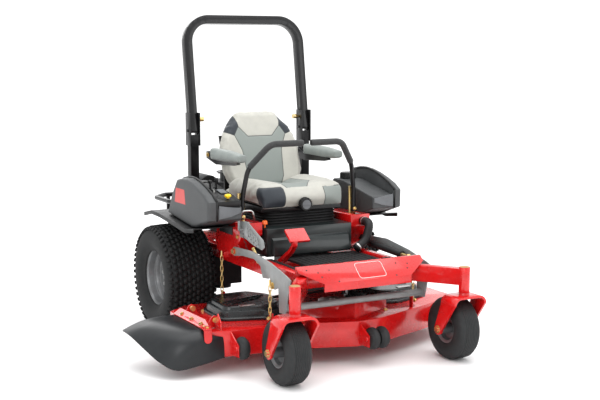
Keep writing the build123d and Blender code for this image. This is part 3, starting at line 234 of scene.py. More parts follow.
FINISHES = (
    Finish("red_powder_coat", (0.62, 0.012, 0.012), 0.24, (0.5, 0.008, 0.009), coat=0.7, spread=0.06,
           grain=Grain.ORANGE_PEEL, grain_scale=420, grain_depth=0.00012),
    Finish("black_powder_coat", (0.006, 0.0062, 0.007), 0.3, (0.01, 0.01, 0.011), coat=0.2, specular=0.4,
           grain=Grain.ORANGE_PEEL, grain_scale=420, grain_depth=0.00015),
    Finish("grey_paint", (0.27, 0.285, 0.285), 0.36, coat=0.2, grain=Grain.ORANGE_PEEL, grain_scale=400),
    # Rim grey is set darker than the light steel grey of the real rims: painted shade of the deep wheel dish.
    # The caster rims share it.
    Finish("rim_silver_painted_shade", (0.2, 0.207, 0.214), 0.36, (0.15, 0.15, 0.152), metallic=0.45, coat=0.25,
           grain=Grain.ORANGE_PEEL, grain_scale=300),
    Finish("yellow_zinc", (0.78, 0.56, 0.2), 0.3, (0.6, 0.5, 0.32), metallic=0.9, mottle_scale=60,
           grain=Grain.BRUSHED, grain_scale=500, grain_depth=0.0001),
    Finish("bright_steel", (0.55, 0.55, 0.54), 0.3, metallic=1.0, grain=Grain.BRUSHED, grain_scale=600),
    Finish("heat_steel", (0.2, 0.17, 0.15), 0.45, (0.32, 0.26, 0.2), metallic=0.8, grain=Grain.CAST,
           grain_scale=200),
    Finish("dark_casting", (0.035, 0.036, 0.038), 0.55, metallic=0.3, grain=Grain.CAST, grain_scale=260,
           grain_depth=0.0005),
    Finish("tyre_rubber", (0.018, 0.019, 0.02), 0.72, (0.03, 0.03, 0.03), mottle_scale=25, grain=Grain.CAST,
           grain_scale=320, grain_depth=0.0003, specular=0.35),
    Finish("caster_rubber", (0.022, 0.024, 0.025), 0.6, (0.034, 0.035, 0.036), mottle_scale=30,
           grain=Grain.CAST, grain_scale=420, specular=0.4),
    Finish("flap_rubber", (0.012, 0.014, 0.016), 0.3, (0.02, 0.022, 0.024), spread=0.12, mottle_scale=9,
           grain=Grain.CAST, grain_scale=180, grain_depth=0.00025),
    Finish("hose_rubber", (0.014, 0.014, 0.015), 0.5, grain=Grain.CAST, grain_scale=500),
    Finish("foam_grip", (0.036, 0.037, 0.038), 0.82, (0.055, 0.056, 0.057), mottle_scale=80,
           grain=Grain.MOULDED, grain_scale=900, grain_depth=0.0004, sheen=0.2),
    Finish("tank_plastic", (0.062, 0.066, 0.068), 0.5, (0.08, 0.083, 0.086), grain=Grain.MOULDED,
           grain_scale=650, grain_depth=0.0003),
    Finish("tank_panel", (0.16, 0.17, 0.18), 0.42, grain=Grain.MOULDED, grain_scale=650, grain_depth=0.0002),
    Finish("black_plastic", (0.012, 0.0125, 0.013), 0.42, grain=Grain.MOULDED, grain_scale=700,
           grain_depth=0.0002),
    Finish("cover_plastic", (0.012, 0.015, 0.016), 0.22, (0.018, 0.021, 0.023), spread=0.1, coat=0.2,
           grain=Grain.ORANGE_PEEL, grain_scale=300),
    Finish("pod_paint", (0.016, 0.022, 0.023), 0.34, (0.024, 0.03, 0.03), coat=0.25, grain=Grain.ORANGE_PEEL,
           grain_scale=380),
    Finish("yellow_knob", (0.9, 0.62, 0.01), 0.25, (0.8, 0.5, 0.01), coat=0.5),
    Finish("orange_knob", (0.85, 0.16, 0.01), 0.28, (0.7, 0.12, 0.01), coat=0.5),
    Finish("tan_cap", (0.45, 0.28, 0.12), 0.45, (0.36, 0.22, 0.1)),
    Finish("white_badge", (0.85, 0.82, 0.8), 0.4, (0.8, 0.75, 0.72)),
    Finish("light_vinyl", (0.47, 0.465, 0.42), 0.46, (0.42, 0.415, 0.38), grain=Grain.LEATHER,
           grain_scale=520, grain_depth=0.0005, spread=0.1, sheen=0.1),
    Finish("grey_vinyl", (0.25, 0.275, 0.262), 0.5, (0.21, 0.235, 0.225), grain=Grain.LEATHER,
           grain_scale=520, grain_depth=0.0005, spread=0.1, sheen=0.1),
    Finish("floor_rubber", (0.02, 0.02, 0.021), 0.65, grain=Grain.CAST, grain_scale=300),
    Finish("red_decal", (0.55, 0.03, 0.025), 0.35, (0.5, 0.03, 0.02), coat=0.3),
)


def make_finishes() -> tuple:
    """Build the shared node groups and every material.

    Returns:
        Finish name to Blender material, and the node groups by name.
    """
    groups = {"mottle": mottle_group()}
    for grain in Grain:
        if grain is not Grain.NONE:
            groups[grain.value] = relief_group(grain)
    return {finish.name: finish.material(groups) for finish in FINISHES}, groups


# ---------------------------------------------------------------- workshop


@dataclass
class Workshop:
    """Turns bmeshes into finished pieces that ride on the frame."""

    finishes: dict
    groups: dict

    def piece(
        self,
        name: str,
        mesh: bmesh.types.BMesh,
        body: str,
        finish: str,
        slot: Optional[str] = None,
        replaces: Sequence[str] = (),
        bevel: float = 0.0,
        subdivide: int = 0,
        smooth: bool = True,
        bevel_angle: float = 30.0,
    ) -> bpy.types.Object:
        """Make an object from a bmesh and attach it to a body.

        Args:
            name: The piece's name.
            mesh: Its geometry, in the frame's metres. It is freed.
            body: The body that it rides on.
            finish: Name of its finish.
            slot: Name of a material slot. Not used.
            replaces: Nodes of the frame that it stands for.
            bevel: Width of the rounded edges, in metres.
            subdivide: Levels of subdivision.
            smooth: Whether faces are shaded smooth.
            bevel_angle: Smallest angle between faces, in degrees, that is rounded.

        Returns:
            The new object.
        """
        data = bpy.data.meshes.new(name)
        bmesh.ops.recalc_face_normals(mesh, faces=mesh.faces)
        mesh.to_mesh(data)
        mesh.free()
        made = bpy.data.objects.new(name, data)
        bpy.context.scene.collection.objects.link(made)
        data.materials.append(self.finishes[finish])
        for face in data.polygons:
            face.use_smooth = smooth
        if bevel:
            round_edges(made, bevel, bevel_angle)
        if subdivide:
            finer = made.modifiers.new("finer", "SUBSURF")
            finer.levels = finer.render_levels = subdivide
        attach(made, body)
        if replaces:
            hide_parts(*replaces)
        return made


def round_edges(piece: bpy.types.Object, width: float, angle: float = 30.0, segments: int = 2) -> None:
    """Add a bevel modifier that rounds the sharp edges of a piece."""
    bevel = piece.modifiers.new("edges", "BEVEL")
    bevel.width = width
    bevel.segments = segments
    bevel.limit_method = "ANGLE"
    bevel.angle_limit = math.radians(angle)
    bevel.harden_normals = True


def lathe(mesh: bmesh.types.BMesh, profile: Sequence[Point], centre: Vector, segments: int = 64) -> list:
    """Spin a closed profile about a line along X.

    Args:
        mesh: The bmesh to add to.
        profile: Points of x offset and radius, in millimetres.
        centre: A point of the axis, in metres.
        segments: Steps round the full turn.

    Returns:
        The new faces.
    """
    before = set(mesh.faces)
    ring = [mesh.verts.new(centre + Vector((x, 0, r)) * MM) for x, r in profile]
    edges = [mesh.edges.new((a, b)) for a, b in zip(ring, ring[1:] + ring[:1])]
    bmesh.ops.spin(
        mesh,
        geom=ring + edges,
        cent=centre,
        axis=(1, 0, 0),
        angle=2 * math.pi,
        steps=segments,
        use_merge=True,
    )
    bmesh.ops.remove_doubles(mesh, verts=mesh.verts, dist=1e-6)
    return [f for f in mesh.faces if f not in before]


def cylinder(
    mesh: bmesh.types.BMesh,
    start: Vector,
    end: Vector,
    radius: float,
    segments: int = 24,
    tip: Optional[float] = None,
) -> list:
    """Add a cylinder or cone between two points.

    Args:
        mesh: The bmesh to add to.
        start: Middle of its foot, in metres.
        end: Middle of its top.
        radius: Radius of the foot, in metres.
        segments: Sides.
        tip: Radius of the top, where it differs from the foot's.

    Returns:
        The new vertices.
    """
    run = end - start
    turn = run.to_track_quat("Z", "Y").to_matrix().to_4x4()
    place = Matrix.Translation((start + end) / 2) @ turn
    made = bmesh.ops.create_cone(
        mesh,
        cap_ends=True,
        segments=segments,
        radius1=radius,
        radius2=radius if tip is None else tip,
        depth=run.length,
        matrix=place,
    )
    return made["verts"]


def block(mesh: bmesh.types.BMesh, low: Vector, high: Vector) -> list:
    """Add a box between two corners."""
    size = high - low
    place = Matrix.Translation((low + high) / 2) @ Matrix.Diagonal((*size, 1))
    return bmesh.ops.create_cube(mesh, size=1, matrix=place)["verts"]


def plate(mesh: bmesh.types.BMesh, outline: Iterable[Vector], thickness: Vector) -> list:
    """Add a plate from its outline, given a thickness along a direction.

    Args:
        mesh: The bmesh to add to.
        outline: Corners in order, in the frame's metres.
        thickness: How far, and which way, the outline is drawn out.

    Returns:
        The faces of the plate.
    """
    before = set(mesh.faces)
    face = mesh.faces.new([mesh.verts.new(v) for v in outline])
    drawn = bmesh.ops.extrude_face_region(mesh, geom=[face], use_keep_orig=True)
    moved = [v for v in drawn["geom"] if isinstance(v, bmesh.types.BMVert)]
    bmesh.ops.translate(mesh, verts=moved, vec=thickness)
    return [f for f in mesh.faces if f not in before]


def hex_bolt(mesh: bmesh.types.BMesh, head: Vector, along: Vector, across: float, height: float) -> None:
    """Add a hex head with a washer under it, standing on a face.

    Args:
        mesh: The bmesh to add to.
        head: Where the washer rests, in metres.
        along: Outward direction.
        across: Half the head's width over its corners.
        height: Height of the head.
    """
    way = along.normalized()
    cylinder(mesh, head, head + way * height * 0.25, across * 1.35, 20)
    cylinder(mesh, head + way * height * 0.25, head + way * height, across, 6)


def skin(mesh: bmesh.types.BMesh, rings: Sequence[list]) -> None:
    """Close the wall between rings of as many vertices, each joined to the next one.

    Args:
        mesh: The bmesh that holds the rings.
        rings: Lists of vertices, in order.
    """
    for low, high in zip(rings, rings[1:]):
        for k in range(len(low)):
            m = (k + 1) % len(low)
            mesh.faces.new((low[k], low[m], high[m], high[k]))


def bridge_rings(mesh: bmesh.types.BMesh, rings: Sequence[list]) -> None:
    """Bridge neighbouring rings of vertices and close the first and the last one.

    Args:
        mesh: The bmesh that holds the rings.
        rings: Lists of vertices, in order.
    """
    for low, high in zip(rings, rings[1:]):
        edges = []
        for ring in (low, high):
            for a, b in zip(ring, ring[1:] + ring[:1]):
                edges.append(mesh.edges.get((a, b)) or mesh.edges.new((a, b)))
        bmesh.ops.bridge_loops(mesh, edges=edges)
    mesh.faces.new(rings[0])
    mesh.faces.new(rings[-1])


# ---------------------------------------------------------------- carried-over parts


@dataclass
class Metalwork:
    """The frame's own parts whose shape is right: they get their finish and softened edges."""

    edge: float = 0.0016
    finishes: dict = field(
        default_factory=lambda: {
            "red_powder_coat": "main_frame front_frame side_towers deck_shell lift_pedal"
            " fork_right fork_left",
            "grey_paint": "lift_arms height_plate",
            "black_powder_coat": "rops_posts rops_hoop engine_guard seat_pan",
            "pod_paint": "seat_pod",
            "floor_rubber": "floor_plate",
            "tank_plastic": "fuel_tanks",
            "black_plastic": "tank_fenders fuel_caps control_console throttle_lever choke_lever ride_knob",
            "cover_plastic": "belt_covers",
            "foam_grip": "control_lever_right control_lever_left",
            "yellow_knob": "pto_knob",
            "orange_knob": "transport_latch",
            "bright_steel": "ignition_key spindle_right spindle_centre spindle_left",
            "yellow_zinc": "rops_pin_right rops_pin_left deck_chains control_arm_right control_arm_left",
            "dark_casting": "engine_block hydro_drives",
            "heat_steel": "muffler",
            "hose_rubber": "hydraulic_hose lift_springs deck_belt seat_bellows",
            "tyre_rubber": "tyre_right tyre_left",
            "caster_rubber": "caster_tyre_right caster_tyre_left roller_front_right roller_centre_right"
            " roller_centre_left roller_front_left",
            "rim_silver_painted_shade": "rim_right rim_left caster_rim_right caster_rim_left",
            "flap_rubber": "deflector",
            "light_vinyl": "seat_cushion seat_back",
            "grey_vinyl": "armrest_right armrest_left",
        }
    )

    def build(self, shop: Workshop) -> None:
        """Dress every node of the frame."""
        for finish, names in self.finishes.items():
            for name in names.split():
                self.dress(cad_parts[name], shop.finishes[finish])
                log.info("dressed %s in %s", name, finish)

    def dress(self, node: bpy.types.Object, material: bpy.types.Material) -> None:
        """Give one node its material and softened edges."""
        node.data.materials.clear()
        node.data.materials.append(material)
        for face in node.data.polygons:
            face.use_smooth = True
        weld = node.modifiers.new("weld", "WELD")
        weld.merge_threshold = 1e-5
        round_edges(node, self.edge, 32)


# ---------------------------------------------------------------- seat


def stuffed(
    mesh: bmesh.types.BMesh, voxel: float, pressure: float, cap: float, frames: int = 18
) -> bmesh.types.BMesh:
    """Swell a closed shape as a stuffed cover does, by a cloth simulation with air pressure.

    Args:
        mesh: The plain closed shape, which is freed.
        voxel: Size of the cells that it is remeshed at, in metres.
        pressure: Air pressure inside.
        cap: The furthest that a point may move, in metres.
        frames: Simulated frames.

    Returns:
        The swollen shape.
    """
    scene = bpy.context.scene
    data = bpy.data.meshes.new("scratch_pad")
    bmesh.ops.recalc_face_normals(mesh, faces=mesh.faces)
    mesh.to_mesh(data)
    mesh.free()
    pad = bpy.data.objects.new("scratch_pad", data)
    scene.collection.objects.link(pad)
    cells = pad.modifiers.new("cells", "REMESH")
    cells.mode = "VOXEL"
    cells.voxel_size = voxel
    bpy.context.view_layer.update()
    fine = bpy.data.meshes.new_from_object(pad.evaluated_get(bpy.context.evaluated_depsgraph_get()))
    pad.modifiers.clear()
    pad.data = fine
    rest = [v.co.copy() for v in fine.vertices]
    cloth = pad.modifiers.new("cloth", "CLOTH")
    cloth.settings.quality = 4
    cloth.settings.mass = 0.3
    cloth.settings.use_pressure = True
    cloth.settings.uniform_pressure_force = pressure
    cloth.settings.effector_weights.gravity = 0
    for number in range(1, frames + 1):
        scene.frame_set(number)
    swollen = bpy.data.meshes.new_from_object(pad.evaluated_get(bpy.context.evaluated_depsgraph_get()))
    for vertex, start in zip(swollen.vertices, rest):
        move = vertex.co - start
        if move.length > cap:
            vertex.co = start + move * (cap / move.length)
    scene.frame_set(1)
    made = bmesh.new()
    made.from_mesh(swollen)
    bpy.data.objects.remove(pad)
    axes = {"use_axis_x": True, "use_axis_y": True, "use_axis_z": True}
    for _ in range(3):
        bmesh.ops.smooth_vert(made, verts=made.verts, factor=0.5, **axes)
    return made


def segment_distance(x: float, z: float, a: Point, b: Point) -> float:
    """Distance from a point to a straight stretch, all in one plane."""
    dx, dz = b[0] - a[0], b[1] - a[1]
    t = max(0.0, min(1.0, ((x - a[0]) * dx + (z - a[1]) * dz) / (dx * dx + dz * dz)))
    return math.hypot(x - a[0] - t * dx, z - a[1] - t * dz)


def inside_distance(x: float, z: float, outline: Sequence[Point]) -> float:
    """Distance from a point to an outline, positive inside it and negative outside."""
    near = min(segment_distance(x, z, a, b) for a, b in zip(outline, [*outline[1:], outline[0]]))
    inside = False
    for (ax, az), (bx, bz) in zip(outline, [*outline[1:], outline[0]]):
        if (az > z) != (bz > z) and x < (bx - ax) * (z - az) / (bz - az) + ax:
            inside = not inside
    return near if inside else -near


def trimmed_vinyl(name: str, colours: Sequence[tuple], finish: Finish, groups: dict) -> bpy.types.Material:
    """Vinyl sewn from panels: each panel's colour shows where its own signed distance is positive. Every seam
    gets a dark line of painted shadow in its pressed-in crease.

    Args:
        name: The material's name.
        colours: Pairs of attribute name and colour, each laid over the ones before it.
        finish: The finish of the base panel.
        groups: The shared node groups.

    Returns:
        The material.
    """
    made = finish.material(groups)
    made.name = name
    nodes, links = made.node_tree.nodes, made.node_tree.links
    mottle = next(n for n in nodes if n.type == "GROUP" and n.node_tree == groups["mottle"])
    shader = nodes["Principled BSDF"]
    source = mottle.outputs["Color"]
    seam_shade = None
    for attribute, colour in colours:
        edge = nodes.new("ShaderNodeAttribute")
        edge.attribute_name = attribute
        step = nodes.new("ShaderNodeMapRange")
        step.inputs["From Min"].default_value = -0.0006
        step.inputs["From Max"].default_value = 0.0006
        links.new(edge.outputs["Fac"], step.inputs["Value"])
        mix = nodes.new("ShaderNodeMix")
        mix.data_type = "RGBA"
        mix.inputs["B"].default_value = (*colour, 1)
        links.new(step.outputs["Result"], mix.inputs["Factor"])
        links.new(source, mix.inputs["A"])
        source = mix.outputs["Result"]
        # A narrow band along each seam, which is darkened as painted shadow.
        seam = nodes.new("ShaderNodeMath")
        seam.operation = "ABSOLUTE"
        links.new(edge.outputs["Fac"], seam.inputs[0])
        line = nodes.new("ShaderNodeMapRange")
        line.inputs["From Min"].default_value = 0.0008
        line.inputs["From Max"].default_value = 0.0026
        links.new(seam.outputs["Value"], line.inputs["Value"])
        if seam_shade is None:
            seam_shade = line.outputs["Result"]
        else:
            both = nodes.new("ShaderNodeMath")
            both.operation = "MULTIPLY"
            links.new(seam_shade, both.inputs[0])
            links.new(line.outputs["Result"], both.inputs[1])
            seam_shade = both.outputs["Value"]
    # Darken the seams towards near black: painted shadow in the pressed-in seam creases.
    shadow = nodes.new("ShaderNodeMix")
    shadow.data_type = "RGBA"
    shadow.inputs["A"].default_value = (0.05, 0.055, 0.055, 1)
    links.new(seam_shade, shadow.inputs["Factor"])
    links.new(source, shadow.inputs["B"])
    links.new(shadow.outputs["Result"], shader.inputs["Base Color"])
    return made


@dataclass
class Seat:
    """Suspension seat: back and cushion of sewn vinyl, armrests, ride knob and pleated skirt."""

    lean: float = math.tan(math.radians(19))
    voxel: float = 0.006
    seam_width: float = 0.007
    seam_depth: float = 0.0035
    # Half outlines of the back's panels
    headrest: tuple = ((140, 1260), (134, 1150), (78, 1091))
    centre: tuple = ((131, 1152), (165, 1100), (146, 1058), (127, 1012), (120, 930), (114, 860), (92, 812),
                     (50, 786))
    insert: tuple = ((143, 1212), (132, 1150), (166, 1099), (222, 1120), (192, 1186))

    def build(self, shop: Workshop) -> None:
        """Make every soft and moulded part of the seat."""
        base = next(f for f in FINISHES if f.name == "light_vinyl")
        grey, dark = (0.235, 0.26, 0.245), (0.03, 0.037, 0.046)
        sewn = trimmed_vinyl("sewn_vinyl", (("grey_panel", grey), ("dark_panel", dark)), base, shop.groups)
        self.back(shop, sewn)
        self.cushion(shop, sewn)
        for side, sign in (("right", -1), ("left", 1)):
            self.armrest(shop, side, sign)
        self.skirt(shop)
        self.ride_knob(shop)

    def front_y(self, z: float) -> float:
        """Front face of the back at a height, in millimetres."""
        return -110 + (z - 872) * self.lean

    def mark(self, piece: bpy.types.Object, grey: Callable, dark: Callable, pinch: Callable) -> None:
        """Store the signed distances of the panels on a pad and press its seams in.

        Args:
            piece: The pad.
            grey: Signed distance to the grey panel from x, y, z in millimetres.
            dark: The same for the charcoal panel.
            pinch: Which way a seam is pressed in at a place.
        """
        data = piece.data
        shift = SHIFT
        found = {"grey_panel": [], "dark_panel": []}
        for vertex in data.vertices:
            x, y, z = (vertex.co - shift) / MM
            for key, rule in (("grey_panel", grey), ("dark_panel", dark)):
                found[key].append(rule(x, y, z) * MM)
            near = min(abs(found["grey_panel"][-1]), abs(found["dark_panel"][-1]))
            if near < self.seam_width:
                share = 1 - near / self.seam_width
                vertex.co += pinch(x, y, z) * (self.seam_depth * share * share)
        for key, values in found.items():
            layer = data.attributes.new(key, "FLOAT", "POINT")
            layer.data.foreach_set("value", values)

    def back(self, shop: Workshop, sewn: bpy.types.Material) -> None:
        """Make the back cushion, bucketed between two side wings."""
        mesh = bmesh.new()
        bottom, top, depth = 786, 1230, 86
        # Half width of the back at each height
        rows = ((bottom, 186), (826, 226), (890, 256), (1030, 256), (1100, 232), (1150, 202), (1194, 164),
                (top, 124))
        loops = []
        for z, half in rows:
            ring = []
            for k in range(33):
                share = -1 + k / 16
                wing = 26 * abs(share) ** 3 * (1 if z < 1190 else 0.4)
                crown = 10 * (1 - share * share)
                ring.append(at(share * half, self.front_y(z) + 12 - wing - crown + 14, z))
            for k in range(33):
                share = 1 - k / 16
                ring.append(at(share * (half - 8), self.front_y(z) + depth + 6 - 16 * share * share, z))
            loops.append([mesh.verts.new(p) for p in ring])
        bridge_rings(mesh, loops)
        pad = stuffed(mesh, self.voxel, 4.0, 0.014)
        piece = shop.piece(
            "seat_back_pad", pad, "seat", "light_vinyl", "seat_vinyl", ("seat_back",), subdivide=1
        )
        piece.data.materials[0] = sewn

        def whole(half: Sequence[Point]) -> list:
            """A half outline with its mirror image."""
            return [*half, *((-x, z) for x, z in reversed(half))]

        head, centre, insert = whole(self.headrest), whole(self.centre), list(self.insert)

        def on_front(x: float, y: float, z: float) -> bool:
            """Whether a place is on the front half of the back."""
            return y < self.front_y(z) + 50

        def grey(x: float, y: float, z: float) -> float:
            """Signed distance to the grey centre panel, which the headrest covers."""
            if not on_front(x, y, z):
                return -30.0
            return min(inside_distance(x, z, centre), -inside_distance(x, z, head))

        def dark(x: float, y: float, z: float) -> float:
            """Signed distance to the shoulder inserts, which wrap round the side."""
            if y > self.front_y(z) + 74:
                return -30.0
            return inside_distance(abs(x), z, insert)

        def pinch(x: float, y: float, z: float) -> Vector:
            """Seams are pressed straight into the leaning front, and forwards at the rear."""
            return Vector((0, 0.94, -0.33)) if on_front(x, y, z) else Vector((0, -1, 0))

        self.mark(piece, grey, dark, pinch)

    def cushion(self, shop: Workshop, sewn: bpy.types.Material) -> None:
        """Make the seat cushion with its rolled front edge and raised sides."""
        mesh = bmesh.new()
        # Place along the cushion, lower and upper face, depth of the well and height of the side bolsters
        sections = (
            (-564, 728, 806, 0, 0),
            (-558, 722, 838, 0, 0),
            (-524, 742, 856, 2, 2),
            (-440, 748, 858, 12, 8),
            (-300, 750, 850, 32, 16),
            (-180, 750, 844, 46, 18),
            (-138, 750, 834, 46, 8),
            (-112, 750, 800, 6, 0),
            (-16, 750, 780, 0, 0),
        )
        loops = []
        for y, low, high, well_depth, bolster in sections:
            ring = []
            half = 250 if y < -540 else 258
            for k in range(33):
                share = -1 + k / 16
                sunk = 0.5 + 0.5 * math.cos(math.pi * min(1.0, abs(share) / 0.74))
                edge = max(0.0, abs(share) - 0.8) / 0.2
                z = high - 4 + bolster * (1 - sunk) - well_depth * sunk - 16 * edge**2
                ring.append(at(share * half, y, z))
            for k in range(33):
                share = 1 - k / 16
                ring.append(at(share * (half - 6), y, low + 4))
            loops.append([mesh.verts.new(p) for p in ring])
        bridge_rings(mesh, loops)
        pad = stuffed(mesh, self.voxel, 4.0, 0.012)
        pan_front = at(0, -563, 0).y
        for vertex in pad.verts:
            if vertex.co.y > pan_front:
                vertex.co.z = max(vertex.co.z, 0.7375)
        piece = shop.piece(
            "seat_cushion_pad", pad, "seat", "light_vinyl", "seat_vinyl", ("seat_cushion",), subdivide=1
        )
        piece.data.materials[0] = sewn
        well = [(-125, -60), (-135, -300), (-112, -500), (-80, -540), (30, -545), (105, -440), (125, -60)]
        insert = [(-330, 742), (-330, 846), (-262, 850), (-122, 850), (-112, 840), (-112, 752), (-122, 742)]

        def grey(x: float, y: float, z: float) -> float:
            """Signed distance to the grey well on top and to the grey corner at the operator's left."""
            if z > (842 if y < -470 else 780) and y > -548 and abs(x) < 200:
                return inside_distance(x, y, well)
            return min(x - 134, 842 - z, -330 - y)

        def dark(x: float, y: float, z: float) -> float:
            """Signed distance to the charcoal panel at the front, on the operator's right."""
            return min(inside_distance(x, z, insert), -505 - y, x + 266)

        def pinch(x: float, y: float, z: float) -> Vector:
            """Seams are pressed down on top and back at the front."""
            return Vector((0, 0, -1)) if z > 780 and y > -540 else Vector((0, 1, 0))

        self.mark(piece, grey, dark, pinch)

    def armrest(self, shop: Workshop, side: str, sign: int) -> None:
        """Make one armrest pad and the bracket under it."""
        mesh = bmesh.new()
        low, high = at(sign * 302 - 27, -430, 968), at(sign * 302 + 27, -48, 1032)
        block(mesh, low, high)
        bmesh.ops.subdivide_edges(mesh, edges=mesh.edges, cuts=7, use_grid_fill=True)
        middle = (low + high) / 2
        for vertex in mesh.verts:
            share = (vertex.co.y - low.y) / (high.y - low.y)
            rise = vertex.co.z - middle.z
            vertex.co.z = middle.z + rise * (1 - 0.38 * max(0.0, 0.35 - share) / 0.35)
            vertex.co.x = middle.x + (vertex.co.x - middle.x) * (1 - 0.22 * (rise / (high.z - middle.z)) ** 4)
        pad = stuffed(mesh, 0.006, 5.0, 0.012)
        piece = shop.piece(
            f"armrest_{side}_pad",
            pad,
            f"rest_{side}",
            "grey_vinyl",
            "armrest_vinyl",
            (f"armrest_{side}",),
            subdivide=1,
        )
        bracket = bmesh.new()
        inner = sign * 277
        outline = [(74, 1004), (20, 1010), (-60, 978), (-340, 974), (-352, 962), (-300, 952), (-60, 938)]
        outline += [(30, 956), (74, 966)]
        plate(bracket, [at(inner, y, z) for y, z in outline], Vector((sign * 0.02, 0, 0)))
        body = f"rest_{side}"
        shop.piece(f"armrest_{side}_bracket", bracket, body, "black_powder_coat", "black_paint", bevel=0.002)
        bolt = bmesh.new()
        hex_bolt(bolt, at(sign * 295, 52, 985), Vector((sign, 0, 0)), 0.011, 0.009)
        shop.piece(f"armrest_{side}_bolt", bolt, "seat", "yellow_zinc", "chain_zinc", smooth=False)

    def skirt(self, shop: Workshop) -> None:
        """Make the pleated rubber skirt between the pod and the seat pan."""
        mesh = bmesh.new()
        middle, pleats = at(0, -307, 641), 5
        half_x, half_y, height, waist = 0.236, 0.243, 0.0735, 0.965
        ring = bmesh.ops.create_circle(mesh, segments=72, radius=1)["verts"]
        for vertex in ring:
            angle = math.atan2(vertex.co.y, vertex.co.x)
            x, y = math.cos(angle), math.sin(angle)
            power = (abs(x) ** 8 + abs(y) ** 8) ** (-1 / 8)
            vertex.co = middle + Vector((x * power * half_x, y * power * half_y, 0))
        step = height / (2 * pleats)
        edges = list(mesh.edges)
        for k in range(2 * pleats):
            grown = bmesh.ops.extrude_edge_only(mesh, edges=edges)["geom"]
            verts = [v for v in grown if isinstance(v, bmesh.types.BMVert)]
            edges = [e for e in grown if isinstance(e, bmesh.types.BMEdge)]
            scale = waist if k % 2 == 0 else 1 / waist
            bmesh.ops.scale(mesh, verts=verts, vec=(scale, scale, 1), space=Matrix.Translation(-middle))
            bmesh.ops.translate(mesh, verts=verts, vec=(0, 0, step))
        bmesh.ops.solidify(mesh, geom=mesh.faces[:], thickness=0.002)
        piece = shop.piece(
            "seat_skirt", mesh, "chassis", "hose_rubber", "bellows_rubber", ("seat_bellows",), bevel=0.002
        )
        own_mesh(piece)

    def ride_knob(self, shop: Workshop) -> None:
        """Make the round knob with its ridged edge and pale face."""
        centre = at(0, -576.5, 753)
        mesh = bmesh.new()
        cylinder(mesh, centre, centre + Vector((0, -0.026, 0)), 0.038, 36, 0.034)
        for k in range(18):
            turn = 2 * math.pi * k / 18
            spot = centre + Vector((0.0365 * math.cos(turn), 0, 0.0365 * math.sin(turn)))
            cylinder(mesh, spot, spot + Vector((0, -0.022, 0)), 0.0032, 8, 0.0025)
        shop.piece(
            "ride_knob_grip", mesh, "knob", "black_plastic", "knob_black", ("ride_knob",), bevel=0.0015
        )
        face = bmesh.new()
        rim = centre + Vector((0, -0.026, 0))
        cylinder(face, rim, rim + Vector((0, -0.0015, 0)), 0.026, 36)
        block(face, rim + Vector((-0.022, -0.004, -0.004)), rim + Vector((0.022, 0, 0.004)))
        shop.piece("ride_knob_face", face, "knob", "tank_panel", "knob_black", bevel=0.001)


# ---------------------------------------------------------------- wheels


